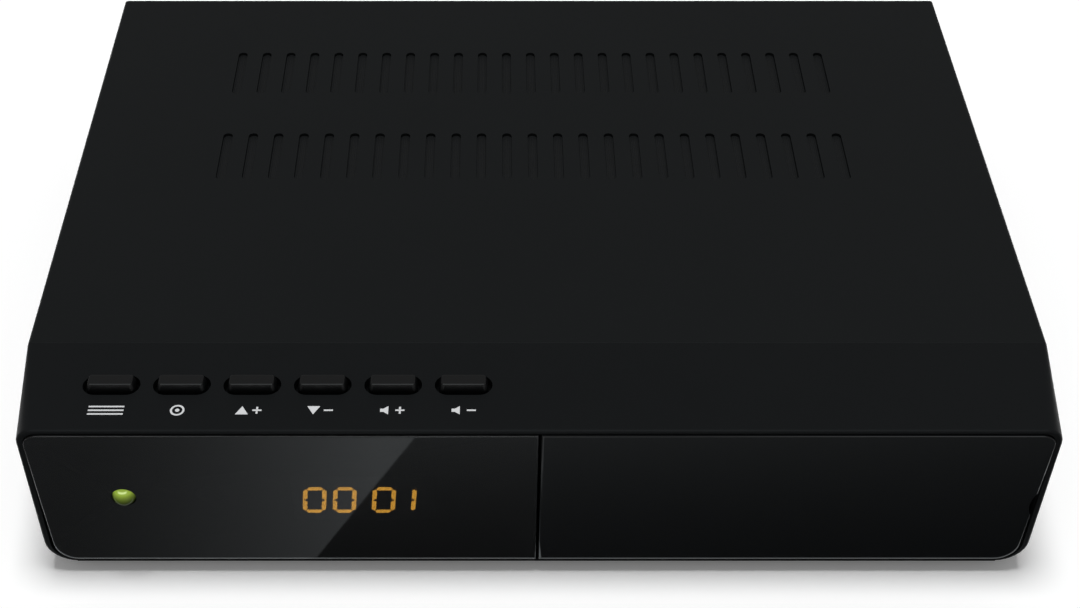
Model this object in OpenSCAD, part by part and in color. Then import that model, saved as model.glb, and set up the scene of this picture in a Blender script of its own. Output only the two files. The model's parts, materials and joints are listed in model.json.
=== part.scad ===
// Satellite television receiver: folded steel case, moulded front, window, door and inner boards.
// Millimetres. The feet stand on z = 0, the front looks along -Y, and x = 0 is the middle.

/* [Case] */
// Width of the steel cover
case_w = 220; // [216:1:260]
// Height of the case without its feet
case_h = 42.6; // [42:0.2:60]
// Length of the steel cover, from the seam to its rear edge
cover_d = 133; // [130:1:180]
// Length of the moulded front, from its rim to the seam
bezel_d = 25.7; // [24:0.1:36]
// Thickness of the sheet steel
sheet_t = 0.8; // [0.6:0.1:1.2]
// Inside radius of the folds
fold_r = 0.2; // [0.2:0.1:0.8]
// Clearance between sheets and what they lie against
fit_gap = 0.15; // [0.1:0.05:0.3]
// How far the rear wall sits inside the cover's rear edge
rear_recess = 0.8; // [0.4:0.1:2]
// Height of the tray's side flanges
flange_h = 14; // [12:1:24]
// Height of the feet
foot_h = 3; // [2:0.5:8]
// Diameter of the feet
foot_d = 12; // [8:1:16]
// Distance of the feet's centres from the cover's sides
foot_inset = 17; // [12:1:30]

/* [Vent slots] */
// Length of a slot in the cover
slot_l = 18; // [8:1:28]
// Width of a slot in the cover
slot_w = 2.3; // [1.5:0.1:4]
// Distance between neighbouring slots
slot_pitch = 6.25; // [5:0.25:12]
// Width of the slotted field
slot_field_w = 150; // [60:5:190]
// Distance of the rear row's centre from the cover's rear edge
slot_row_inset = 33.6; // [26:0.2:45]
// Distance between the two rows
slot_row_pitch = 34.5; // [30:0.5:45]
// Thickness of the dust screens under the slots
screen_t = 0.4; // [0.2:0.1:0.8]
// How far a dust screen reaches past its slots on every side
screen_lap = 5; // [2:0.5:7]
// Length of a slot in the tray
base_slot_l = 22; // [10:1:28]
// Distance between slots in the tray
base_slot_pitch = 9; // [7:0.5:14]

/* [Moulded front] */
// Wall of the moulding
bezel_wall = 2; // [1.6:0.1:2.6]
// How much each side draws in from the seam to the rim
side_taper = 2.1; // [0:0.1:4]
// Radius of the rim's upper corners
rim_top_r = 4; // [3.2:0.1:6]
// Radius of the rim's lower corners
rim_bottom_r = 6.5; // [4:0.1:8]
// Rounding of the rim's front edge
rim_edge_r = 0.6; // [0.2:0.1:1]
// Rim beside the front panel
rim_side = 1.5; // [1.2:0.1:3]
// Rim above the front panel
rim_top = 1.2; // [1:0.1:3]
// Gap from the case's underside to the front panel
rim_bottom = 0.5; // [0.3:0.1:1]
// Length of the tongue that reaches under the cover
tongue_l = 4; // [2:0.5:7]
// Wall behind the window
front_wall = 1.8; // [1.4:0.1:2.4]
// Depth of the bay behind the door, from the rim to the port plate
bay_d = 14; // [13:0.5:17]
// Wall of the bay
bay_wall = 1.8; // [1.4:0.1:2.4]
// Thickness of the plate with the port openings that closes the bay's rear
plate_t = 1.8; // [1.4:0.1:2.2]
// How far the port plate laps behind the bay's side walls
plate_lap = 0.8; // [0.5:0.1:1.2]
// Ledge that the door closes against
door_ledge = 1.8; // [1.4:0.1:3]

/* [Window and door] */
// Thickness of the window and of the door's plate
panel_t = 1.8; // [1.6:0.1:2.2]
// How far both stand out of the rim
panel_proud = 0.5; // [0.2:0.1:0.8]
// Gap round the window and the door
panel_gap = 0.15; // [0.1:0.05:0.25]
// Gap between the window and the door
middle_gap = 0.4; // [0.3:0.05:0.6]
// Radius of the panel's upper corners
panel_top_r = 3; // [2:0.1:4.5]
// Radius of the panel's lower corners
panel_bottom_r = 5.6; // [3:0.1:7]
// Rounding of the panel's upper and side edges
panel_edge_r = 0.3; // [0.15:0.05:0.45]
// Rounding of the door's hinged edge
door_edge_r = 0.9; // [0.6:0.1:1.2]
// Rounding of the panel's lower edge
panel_lip_r = 1.5; // [0.5:0.1:1.6]
// Distance of the hinge axis from the door's left edge
hinge_in = 3.3; // [3.2:0.1:4]
// Distance of the hinge axis behind the door's face
hinge_back = 2.9; // [2.8:0.1:3.2]
// Diameter of the hinge pins
hinge_pin_d = 1.5; // [1:0.1:1.7]
// Clearance round a hinge pin
hinge_gap = 0.1; // [0.05:0.05:0.2]
// Diameter of the door's knuckles and of the lugs that hold the pins
knuckle_d = 3; // [2.8:0.1:3.3]
// Length of each knuckle
knuckle_l = 8; // [5:1:14]
// Height of the finger notch in the door's free edge
notch_h = 8.6; // [6:0.1:14]
// Depth of the finger notch
notch_d = 1.4; // [0.8:0.1:2.4]
// Height of the notch's centre above the case's underside
notch_z = 19.9; // [15:0.1:26]

/* [Buttons] */
// Number of buttons
button_count = 6; // [6]
// Distance between neighbouring buttons
button_pitch = 14.8; // [14.4:0.1:15.4]
// How far the row of buttons sits to the right of the middle of its part of the deck
button_shift = 1.56; // [0:0.01:4]
// Distance of the buttons' centre line behind the rim
button_y = 13.1; // [12.4:0.1:14]
// Width of a button at the deck
button_w = 10.3; // [9:0.1:11]
// Depth of a button at the deck
button_d = 3.9; // [3.6:0.1:4.6]
// Radius of a button's corners at the deck
button_corner_r = 1.1; // [1:0.1:1.6]
// Slant of a button's side from the deck to its top
button_draft = 0.4; // [0.1:0.1:0.5]
// Rounding of a button's top edge
button_edge_r = 0.4; // [0.2:0.1:0.4]
// Height of a button above the deck
button_h = 1.7; // [1:0.1:4]
// Gap between a button's sides and its opening with round ends
button_gap = 0.9; // [0.6:0.05:1]
// Travel of a button
button_travel = 0.5; // [0.3:0.1:0.6]
// Side of a switch body
switch_w = 6; // [5:0.5:7]
// Depth of a switch body
switch_d = 3.8; // [3.6:0.1:4.4]
// Distance from the underside of the deck to the switch bodies
switch_drop = 7.5; // [6:0.5:10]
// Diameter of a switch plunger
plunger_d = 2.6; // [2:0.1:3]

/* [Display] */
// Width of the display module
display_w = 30.2; // [30:0.2:40]
// Height of the display module
display_h = 14; // [12.5:0.5:18]
// Distance of the display's centre to the left of the middle
display_x = 37.2; // [34:0.1:45]
// Height of the display's centre above the case's underside
display_z = 20.9; // [17:0.1:24]
// Height of a digit
digit_h = 8.6; // [7:0.1:11]
// Width of a digit
digit_w = 5.2; // [4.5:0.1:6]
// Width of a lit segment
segment_w = 1.1; // [0.7:0.05:1.4]
// Slant of the digits in degrees
digit_slant = 5; // [0:1:12]
// Diameter of the status light
lamp_d = 5; // [3:0.5:5]
// Distance of the status light to the left of the middle
lamp_x = 88; // [80:0.5:92]
// Height of the status light above the case's underside
lamp_z = 22.3; // [18:0.1:26]
// How far the status light stands out of the window
lamp_proud = 1.5; // [0.5:0.1:2.5]

/* [Boards] */
// Thickness of the circuit boards
board_t = 1.6; // [1:0.1:2]
// Height of the stand-offs under the main board
standoff_h = 4; // [3:0.5:6]
// Gap between the main board and the tray's walls
board_gap = 4; // [3:0.5:8]
// Diameter of the screws
screw_d = 3; // [2:0.1:3.2]
// Clearance of a screw in its hole
screw_gap = 0.05; // [0.03:0.01:0.1]
// Width of the ribbon cable
ribbon_w = 20; // [12:1:28]
// Thickness of the ribbon cable
ribbon_t = 0.9; // [0.6:0.1:1.2]

/* [Rear sockets] */
// Gap round a socket in the rear wall
port_gap = 0.5; // [0.3:0.1:1]
// Diameter of an aerial connector's barrel
aerial_d = 9.5; // [9.5]
// How far the aerial connectors stand out of the rear wall
aerial_l = 9.5; // [7:0.5:12]
// Distance between the two aerial connectors
aerial_pitch = 20; // [16:0.5:24]
// Distance of the first aerial connector from the case's side
aerial_inset = 20; // [18:0.5:26]
// Width of the tuner can
can_w = 44; // [40:1:46]
// Length of the tuner can
can_d = 34; // [24:1:40]
// Height of the tuner can
can_h = 15; // [14:0.5:20]
// Outer diameter of the audio jack's collar
jack_d = 8.3; // [8.3]
// Diameter of the power inlet's bore
inlet_d = 6.3; // [5.5:0.1:6.5]

/* [Hidden] */
$fn = 48;

// Curves inside hull() have fewer steps
hull_fn = 32;
// Thickness of the slices that the lofts join
slice = 0.01;
// How far a cut runs past the face that it opens
past = 1;

// Case
half_w = case_w / 2;
case_bottom = foot_h;
case_top = foot_h + case_h;
seam_y = bezel_d;
rear_y = bezel_d + cover_d;
panel_y = rear_y - rear_recess;
fold_out_r = fold_r + sheet_t;
tray_half_w = half_w - sheet_t - fit_gap;
tray_floor_z = case_bottom + sheet_t;
wall_inner_y = panel_y - sheet_t;
cover_under_z = case_top - sheet_t;
foot_front_y = seam_y + foot_inset;
foot_rear_y = rear_y - foot_inset;

// Screws
screw_r = screw_d / 2;
screw_hole_r = screw_r + screw_gap;
screw_clear_r = screw_r + fit_gap;
screw_head_r = screw_d * 0.95;
screw_head_h = screw_d * 0.6;
cover_screw_z = tray_floor_z + flange_h * 0.6;
cover_screw_ys = [seam_y + tongue_l + 18, rear_y - 22];
cover_screw_l = 6;

// Moulded front
front_half_w = half_w - side_taper;
deck_under_z = case_top - bezel_wall;
panel_half_w = front_half_w - rim_side;
panel_top_z = case_top - rim_top;
panel_bottom_z = case_bottom + rim_bottom;
recess_y = panel_t - panel_proud;
front_wall_y = recess_y + front_wall;
bay_back_y = bay_d;
bay_top_z = panel_top_z - door_ledge;
bay_bottom_z = case_bottom + bezel_wall;
bay_right_x = panel_half_w - door_ledge;
tab_w = 10;
tab_l = 11;
tab_t = 2.2;
tab_x = half_w - 46;
tab_z = tray_floor_z + fit_gap;
bezel_screw_y = seam_y + 6;

// Door hinge
door_left_x = middle_gap / 2;
hinge_x = door_left_x + hinge_in;
hinge_y = hinge_back - panel_proud;
hinge_bore_r = hinge_pin_d / 2 + hinge_gap;
lug_r = knuckle_d / 2 + fit_gap;
door_thin_t = hinge_back - lug_r - 2 * panel_gap;
door_swing_r = norm([hinge_in - door_edge_r, hinge_back - door_edge_r]) + door_edge_r + 2 * panel_gap;
bay_left_x = hinge_x - door_swing_r;
hinge_reach = 1.2;
window_undercut = bay_left_x + 2 * panel_gap;

// Buttons, in the part of the deck between the left wall and the bay
deck_field_x0 = -(front_half_w - bezel_wall);
deck_field_x1 = bay_left_x - bay_wall;
button_row_x = (deck_field_x0 + deck_field_x1) / 2 + button_shift;
button_top_z = case_top + button_h;
flange_t = 1;
flange_w = button_w + 2 * button_gap + 1.2;
flange_d = button_d + 2 * button_gap + 0.8;
rib_t = 1.2;
flange_top_z = deck_under_z - fit_gap;
switch_top_z = deck_under_z - switch_drop;
plunger_top_z = switch_top_z + button_travel + 0.5;
plunger_foot = 1.2;
switch_pin_d = 0.8;
stem_w = 3;
stem_d = 2.2;

// Front board
board_rear_y = button_y - switch_d / 2;
board_front_y = board_rear_y - board_t;
front_board_top_z = switch_top_z;
front_board_bottom_z = bay_bottom_z + 4;
front_board_x0 = deck_field_x0 + 4;
front_board_x1 = deck_field_x1 - 3;
post_d = 6;
post_zs = [front_board_bottom_z + 5];
post_xs = [front_board_x0 + 8, front_board_x1 - 7];
post_screw_l = 5;
display_y = recess_y + 0.2;
display_mid_z = case_bottom + display_z;
segment_t = 0.1;
lamp_r = lamp_d / 2;
lamp_tip_y = -panel_proud - lamp_proud;
lamp_mid_z = case_bottom + lamp_z;
infrared_x = -lamp_x + 18;
infrared_r = 2.5;
infrared_block = 6;
header_w = ribbon_w + 4;
header_h = 6;
header_d = 5;
header_x = -half_w + 50;
ribbon_bend_r = 6;
ribbon_seat = 1.2;

// Main board
board_z0 = tray_floor_z + standoff_h;
board_z = board_z0 + board_t;
board_x1 = tray_half_w - sheet_t - board_gap;
board_x0 = -board_x1;
board_rear_edge_y = wall_inner_y - 1;
board_front_edge_y = bay_back_y + plate_t + 0.6 + fit_gap;
standoff_r = 3;
standoff_foot_r = 5;
usb_x = bay_right_x - 17;
usb_w = 13.1;
reader_w = 62;
reader_gap = 3;
reader_x = usb_x - usb_w / 2 - reader_gap - reader_w / 2;
board_step_x = reader_x - reader_w / 2 - 2 * standoff_foot_r;
board_step_y = seam_y + tongue_l + 64;
front_standoff_y = seam_y + 18;
standoff_at = [
    [board_x0 + standoff_foot_r + 1, board_step_y + standoff_foot_r + 2],
    [board_x0 + standoff_foot_r + 1, board_rear_edge_y - 12],
    [board_x1 - standoff_foot_r, board_rear_edge_y - can_d - 14],
    [board_step_x + standoff_foot_r, front_standoff_y],
    [board_x1 - standoff_foot_r, front_standoff_y],
];
board_screw_l = board_t + standoff_h - 1;
board_header_y = board_step_y + header_h + 2;
header_z = board_z + header_d + ribbon_bend_r + 2;

// Sockets on the rear wall
aerial_x1 = half_w - aerial_inset;
aerial_x0 = aerial_x1 - aerial_pitch;
aerial_r = aerial_d / 2;
aerial_z = board_z + can_h * 0.55;
can_x = (aerial_x0 + aerial_x1) / 2;
can_rear_y = wall_inner_y - fit_gap;
can_sheet = 0.5;
socket_gap = 7;
video_w = 14.5;
video_x = can_x - can_w / 2 - socket_gap - video_w / 2;
video_h = 5.6;
video_d = 12;
video_mid_z = board_z + video_h / 2 + 0.4;
scart_w = 47;
scart_x = video_x - video_w / 2 - socket_gap - scart_w / 2;
scart_h = 15.4;
scart_d = 17;
scart_out = 2.4;
scart_mid_z = board_z + scart_h / 2 + 1;
jack_r = jack_d / 2;
jack_block_w = 10;
jack_x = scart_x - scart_w / 2 - 19.5 - jack_block_w / 2;
jack_shoulder = 0.3;
jack_bore_r = 1.6;
jack_block_h = 13;
jack_block_d = 10;
jack_out = 8;
jack_z = board_z + 7;
inlet_x = -half_w + 24;
inlet_w = 9;
inlet_h = 11;
inlet_d_block = 14;
inlet_out = 0.6;
inlet_z = board_z + 6.5;
inlet_pin_d = 2.1;
inlet_floor = 4;
inlet_pin_short = 1.5;

// Ports behind the door
usb_h = 5.7;
usb_d = 14;
usb_sheet = 0.4;
usb_tongue_w = 11.2;
port_front_y = bay_back_y - 0.6;
usb_mid_z = board_z + usb_h / 2 + 0.3;
reader_d = 50;
reader_h = 7;
reader_slot_w = 55;
reader_slot_h = 1.6;
reader_mouth = 4;

// Parts on the main board
chip_side = 28;
chip_t = 2.2;
chip_x = 4;
chip_y = rear_y - slot_row_inset - slot_row_pitch / 2;
sink_side = 36;
sink_base = 3;
sink_h = 14;
fin_count = 9;
fin_t = 1.2;
small_chip_gap = 9;
supply_x = inlet_x + 32;
supply_y = chip_y + 4;
supply_pitch = 14;

// How much deeper the ledge is cut away than the door behind the finger notch
notch_margin = 0.6;

// Whole object: the middle of its depth lies over the origin
back_y = panel_y + aerial_l;
mid_y = (lamp_tip_y + back_y) / 2;

module place() {
    translate([0, -mid_y, 0])
        children();
}

// Extrudes an outline drawn in x and z from the plane y = from to the plane y = to
module along_y(from, to) {
    translate([0, to, 0])
        rotate([90, 0, 0])
            linear_extrude(to - from)
                children();
}

// Block between two corners
module block(low, high) {
    translate(low)
        cube(high - low);
}

// Outline with two round ends, length l along y and width w
module obround(w, l) {
    square([w, l - w], center = true);
    for (end = [-1, 1])
        translate([0, end * (l - w) / 2])
            circle(d = w);
}

// Folded sheet as a U open downwards, its top face at z = 0
module folded_channel(width, depth) {
    translate([fold_out_r - width / 2, -sheet_t])
        square([width - 2 * fold_out_r, sheet_t]);
    for (side = [-1, 1]) {
        translate([side * (width - sheet_t) / 2, -(fold_out_r + depth) / 2])
            square([sheet_t, depth - fold_out_r], center = true);
        translate([side * (width / 2 - fold_out_r), -fold_out_r])
            intersection() {
                difference() {
                    circle(fold_out_r);
                    circle(fold_r);
                }
                translate([side * fold_out_r / 2, fold_out_r / 2])
                    square(fold_out_r, center = true);
            }
    }
}

// Pan head screw along +Z with the head's underside at z = 0 and the shank below it
module pan_screw(shank_l) {
    difference() {
        union() {
            translate([0, 0, -shank_l])
                cylinder(r = screw_r, h = shank_l);
            cylinder(r1 = screw_head_r, r2 = screw_head_r * 0.7, h = screw_head_h);
        }
        for (turn = [0, 90])
            translate([0, 0, screw_head_h])
                rotate(turn)
                    cube([screw_head_r, screw_d * 0.2, screw_head_h], center = true);
    }
}

// ---- Case ----

module top_cover() {
    place() color("#1d1e1e") difference() {
        along_y(seam_y, rear_y)
            translate([0, case_top])
                folded_channel(case_w, case_h);
        for (row = [0, 1])
            vent_row(slot_field_w, slot_pitch, rear_y - slot_row_inset - row * slot_row_pitch)
                translate([0, 0, cover_under_z - past])
                    linear_extrude(sheet_t + 2 * past)
                        obround(slot_w, slot_l);
        for (y = cover_screw_ys, side = [-1, 1])
            translate([side * half_w, y, cover_screw_z])
                rotate([0, 90, 0])
                    cylinder(r = screw_clear_r, h = 4 * sheet_t, center = true);
    }
}

// Repeats its child along x over the width of a field, centred
module vent_row(field_w, pitch, y) {
    steps = floor(field_w / pitch / 2);
    for (i = [-steps:steps])
        translate([i * pitch, y, 0])
            children();
}

// Two strips of black mesh fixed under the cover, one below each row of slots
module dust_screen() {
    half_l = slot_l / 2 + screen_lap;
    half_field = slot_field_w / 2 + slot_w / 2 + screen_lap;
    place() color("#151617")
        for (row = [0, 1])
            translate([0, rear_y - slot_row_inset - row * slot_row_pitch, 0])
                block([-half_field, -half_l, cover_under_z - screen_t], [half_field, half_l, cover_under_z]);
}

module chassis_tray() {
    flange_y = seam_y + tongue_l + 1;
    place() color("#9a9d9f") difference() {
        union() {
            along_y(flange_y, panel_y)
                translate([0, case_bottom])
                    mirror([0, 1])
                        folded_channel(2 * tray_half_w, flange_h);
            block([-tray_half_w + fold_out_r, seam_y + fit_gap, case_bottom],
                [tray_half_w - fold_out_r, flange_y, tray_floor_z]);
            rear_wall();
            for (at = standoff_at)
                translate([at.x, at.y, tray_floor_z])
                    cylinder(r1 = standoff_foot_r, r2 = standoff_r, h = standoff_h);
        }
        for (at = standoff_at)
            translate([at.x, at.y, case_bottom - past])
                cylinder(r = screw_hole_r, h = standoff_h + sheet_t + 2 * past);
        for (y = cover_screw_ys, side = [-1, 1])
            translate([side * tray_half_w, y, cover_screw_z])
                rotate([0, 90, 0])
                    cylinder(r = screw_hole_r, h = 4 * sheet_t, center = true);
        for (side = [-1, 1])
            translate([side * tab_x, bezel_screw_y, case_bottom - past])
                cylinder(r = screw_clear_r, h = sheet_t + 2 * past);
        for (row = [0, 1])
            vent_row(slot_field_w * 0.8, base_slot_pitch, chip_y + (row - 0.5) * slot_row_pitch)
                translate([0, 0, case_bottom - past])
                    linear_extrude(sheet_t + 2 * past)
                        obround(slot_w, base_slot_l);
    }
}

module rear_wall() {
    wall_top_z = cover_under_z - fit_gap;
    lip_l = 6;
    difference() {
        union() {
            block([-tray_half_w + fold_out_r, wall_inner_y, case_bottom],
                [tray_half_w - fold_out_r, panel_y, wall_top_z]);
            block([-tray_half_w + fold_out_r, panel_y - lip_l, wall_top_z - sheet_t],
                [tray_half_w - fold_out_r, panel_y, wall_top_z]);
        }
        along_y(wall_inner_y - past, panel_y + past) {
            for (x = [aerial_x0, aerial_x1])
                translate([x, aerial_z])
                    circle(r = aerial_r + port_gap);
            translate([video_x, video_mid_z])
                square([video_w + 2 * port_gap, video_h + 2 * port_gap], center = true);
            translate([scart_x, scart_mid_z])
                square([scart_w + 2 * port_gap, scart_h + 2 * port_gap], center = true);
            translate([jack_x, jack_z])
                circle(r = jack_r + port_gap);
            translate([inlet_x - inlet_w / 2 - port_gap, board_z])
                square([inlet_w + 2 * port_gap, inlet_h + port_gap]);
        }
    }
}

module rubber_feet() {
    place() color("#202122")
        for (side = [-1, 1], y = [foot_front_y, foot_rear_y])
            translate([side * (half_w - foot_inset), y, 0])
                difference() {
                    cylinder(d1 = foot_d - 1, d2 = foot_d, h = foot_h);
                    translate([0, 0, -past])
                        cylinder(d = foot_d * 0.4, h = past + foot_h * 0.3);
                }
}

module cover_screws() {
    place() color("#3a3b3c")
        for (y = cover_screw_ys, side = [-1, 1])
            translate([side * half_w, y, cover_screw_z])
                rotate([0, side * 90, 0])
                    pan_screw(cover_screw_l);
}

module board_screws() {
    place() color("#c5c7c8")
        for (at = standoff_at)
            translate([at.x, at.y, board_z])
                pan_screw(board_screw_l);
}

module bezel_screws() {
    place() color("#c5c7c8")
        for (side = [-1, 1])
            translate([side * tab_x, bezel_screw_y, case_bottom])
                rotate([180, 0, 0])
                    pan_screw(sheet_t + tab_t);
}

module front_board_screws() {
    place() color("#c5c7c8")
        for (x = post_xs, z = post_zs)
            translate([x, board_rear_y, z])
                rotate([-90, 0, 0])
                    pan_screw(post_screw_l);
}

// ---- Moulded front ----

// Slice of the front's outline at depth y, drawn in from the outside by inset
module bezel_slice(y, inset, rim_inset) {
    share = min(y / seam_y, 1);
    outer_w = front_half_w + side_taper * share - inset - rim_inset;
    top_r = max(rim_top_r + (fold_out_r - rim_top_r) * share - inset - rim_inset, 0.4);
    bottom_r = max(rim_bottom_r + (fold_out_r - rim_bottom_r) * share - inset - rim_inset, 0.4);
    low = case_bottom + inset + rim_inset;
    high = case_top - inset - rim_inset;
    along_y(y, y + slice)
        for (side = [-1, 1]) {
            translate([side * (outer_w - top_r), high - top_r])
                circle(top_r, $fn = hull_fn);
            translate([side * (outer_w - bottom_r), low + bottom_r])
                circle(bottom_r, $fn = hull_fn);
        }
}

module bezel_outer() {
    hull() {
        for (turn = [0, 30, 60, 90])
            bezel_slice(rim_edge_r * (1 - sin(turn)), 0, rim_edge_r * (1 - cos(turn)));
        bezel_slice(seam_y - slice, 0, 0);
    }
}

module bezel_inner() {
    hull() {
        bezel_slice(front_wall_y, bezel_wall, 0);
        bezel_slice(seam_y + past, bezel_wall, 0);
    }
}

module front_bezel() {
    place() color("#191a1b") difference() {
        union() {
            difference() {
                bezel_outer();
                difference() {
                    bezel_inner();
                    bay_tub();
                    front_posts();
                }
            }
            bezel_tongue();
            bezel_tabs();
        }
        panel_recess();
        bay_space();
        hinge_pocket();
        hinge_bores();
        deck_openings();
        window_openings();
        for (side = [-1, 1])
            translate([side * tab_x, bezel_screw_y, tab_z - past])
                cylinder(r = screw_hole_r, h = tab_t + 2 * past);
    }
}

// Lip that reaches under the cover at the top and both sides
module bezel_tongue() {
    outer_w = tray_half_w;
    lip_t = bezel_wall - sheet_t;
    lip_y = seam_y + tongue_l;
    lip_z = cover_under_z - fit_gap;
    difference() {
        block([-outer_w, seam_y - 3, tray_floor_z + fit_gap], [outer_w, lip_y, lip_z]);
        block([-outer_w + lip_t, seam_y - 3 - past, case_bottom],
            [outer_w - lip_t, lip_y + past, lip_z - lip_t]);
    }
}

// Two tabs that lie on the tray and take the screws from below
module bezel_tabs() {
    for (side = [-1, 1])
        translate([side * tab_x - tab_w / 2, seam_y - tab_l / 3, tab_z])
            cube([tab_w, tab_l / 3 + tab_l, tab_t]);
}

// Walls of the bay behind the door, before it is hollowed
module bay_tub() {
    block([bay_left_x - bay_wall, 0, case_bottom],
        [bay_right_x + bay_wall, bay_back_y, case_top]);
}

// Posts that carry the front board
module front_posts() {
    for (x = post_xs, z = post_zs)
        translate([x, 0, z])
            rotate([-90, 0, 0])
                difference() {
                    cylinder(d = post_d, h = board_front_y);
                    translate([0, 0, front_wall_y])
                        cylinder(r = screw_hole_r, h = board_front_y);
                }
}

// Shallow recess that the window and the door lie in
module panel_recess() {
    low = case_bottom - past;
    corner = panel_bottom_r + panel_gap;
    edge_x = panel_half_w + panel_gap;
    arc_z = panel_top_z + panel_gap - panel_top_r;
    corner_z = panel_bottom_z + panel_bottom_r;
    along_y(-past, recess_y) {
        for (side = [-1, 1])
            translate([side * (edge_x - panel_top_r), arc_z])
                circle(panel_top_r);
        translate([-edge_x + panel_top_r, arc_z])
            square([2 * (edge_x - panel_top_r), panel_top_r]);
        translate([-edge_x, corner_z])
            square([2 * edge_x, arc_z - corner_z]);
        for (side = [-1, 1])
            translate([side * (edge_x - corner), corner_z])
                circle(corner);
        translate([-edge_x + corner, low])
            square([2 * (edge_x - corner), corner_z - low]);
    }
}

module bay_space() {
    block([bay_left_x, recess_y - past, bay_bottom_z], [bay_right_x, bay_back_y + past, bay_top_z]);
    intersection() {
        translate([panel_half_w + notch_r() - notch_d - notch_margin, 0, case_bottom + notch_z])
            rotate([-90, 0, 0])
                cylinder(r = notch_r(), h = front_wall_y + past);
        block([bay_right_x - past, 0, case_bottom], [panel_half_w + panel_gap, bay_d, case_top]);
    }
}

// Radius of the arc that makes a notch of the named height and depth
function notch_r() = (pow(notch_h / 2, 2) + pow(notch_d, 2)) / (2 * notch_d);

// Room above and below the bay for the door's hinged edge, round the two lugs
module hinge_pocket() {
    for (span = [[case_bottom - past, bay_bottom_z + slice], [bay_top_z - slice, panel_top_z + panel_gap]])
        difference() {
            block([bay_left_x, recess_y - past, span[0]],
                [hinge_x, hinge_y + door_swing_r, span[1]]);
            translate([hinge_x, hinge_y, span[0] - past])
                cylinder(r = lug_r, h = span[1] - span[0] + 2 * past);
        }
}

module hinge_bores() {
    translate([hinge_x, hinge_y, case_bottom - past])
        cylinder(r = hinge_bore_r, h = bezel_wall + 2 * past);
    translate([hinge_x, hinge_y, bay_top_z - past])
        cylinder(r = hinge_bore_r, h = past + hinge_reach + fit_gap);
}

module deck_openings() {
    for (i = [0:button_count - 1])
        translate([button_x(i), button_y, deck_under_z - past])
            linear_extrude(bezel_wall + 2 * past)
                rotate(90)
                    obround(button_d + 2 * button_gap, button_w + 2 * button_gap);
}

function button_x(i) = button_row_x + (i - (button_count - 1) / 2) * button_pitch;

// Openings in the wall behind the window for the display, the lamp and the infrared receiver
module window_openings() {
    along_y(recess_y - past, front_wall_y + past) {
        translate([-display_x, display_mid_z])
            square([display_w + 2 * fit_gap, display_h + 2 * fit_gap], center = true);
        translate([-lamp_x, lamp_mid_z])
            circle(r = lamp_r + fit_gap);
        translate([infrared_x, lamp_mid_z])
            circle(r = infrared_r + fit_gap);
    }
}

// ---- Window and door ----

// How far an edge rounded with radius r is drawn in at depth d below the face
function drawn_in(r, d) = d >= r ? 0 : r - sqrt(r * r - (r - d) * (r - d));

// Depths of the slices that round the edges
function edge_depths() = concat(
    [for (turn = [0:30:60]) panel_edge_r * (1 - cos(turn))],
    [for (turn = [30:20:90]) panel_lip_r * (1 - cos(turn))],
    [panel_t - slice]);

// Right half of the front panel, from the middle gap, rounded by middle_r, to its outer end
module panel_half(middle_r) {
    corner = 0.2;
    hull()
        for (depth = edge_depths()) {
            inset = drawn_in(panel_edge_r, depth);
            lip = drawn_in(panel_lip_r, depth);
            middle_x = door_left_x + drawn_in(middle_r, depth);
            along_y(depth - panel_proud, depth - panel_proud + slice) {
                translate([panel_half_w - panel_top_r, panel_top_z - panel_top_r])
                    circle(panel_top_r - inset, $fn = hull_fn);
                translate([panel_half_w - panel_bottom_r, panel_bottom_z + panel_bottom_r])
                    circle(panel_bottom_r - lip, $fn = hull_fn);
                translate([middle_x, panel_top_z - inset - corner])
                    square(corner);
                translate([middle_x, panel_bottom_z + lip])
                    square(corner);
            }
        }
}

module display_window() {
    place() color("#0e0f10", 0.6) difference() {
        mirror([1, 0, 0])
            panel_half(panel_edge_r / 2);
        translate([-lamp_x, 0, lamp_mid_z])
            rotate([90, 0, 0])
                cylinder(r = lamp_r + fit_gap, h = 4 * panel_t, center = true);
        translate([0, 0, case_bottom - past])
            linear_extrude(case_h + 2 * past)
                polygon([
                    [past, -panel_proud + panel_t * 0.3], [-door_left_x, -panel_proud + panel_t * 0.3],
                    [window_undercut, recess_y + slice], [past, recess_y + slice],
                ]);
    }
}

module front_flap() {
    place() color("#0b0c0d") {
        difference() {
            union() {
                panel_half(door_edge_r);
                door_ribs();
            }
            translate([panel_half_w + notch_r() - notch_d, 0, case_bottom + notch_z])
                rotate([90, 0, 0])
                    cylinder(r = notch_r(), h = 4 * panel_t, center = true);
            for (span = [[case_bottom - past, bay_bottom_z + panel_gap], [bay_top_z - panel_gap, case_top]])
                block([-past, door_thin_t - panel_proud, span[0]],
                    [hinge_x + lug_r + 2 * panel_gap, recess_y + past, span[1]]);
        }
        for (base = [bay_bottom_z + panel_gap, bay_top_z - panel_gap - knuckle_l])
            translate([hinge_x, 0, base]) {
                translate([0, hinge_y, 0])
                    cylinder(d = knuckle_d, h = knuckle_l);
                translate([-knuckle_d / 2, recess_y - slice, 0])
                    cube([knuckle_d, hinge_y - recess_y, knuckle_l]);
            }
        for (base = [bay_bottom_z - hinge_reach, bay_top_z - hinge_reach])
            translate([hinge_x, hinge_y, base])
                cylinder(d = hinge_pin_d, h = 2 * hinge_reach);
    }
}

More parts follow.
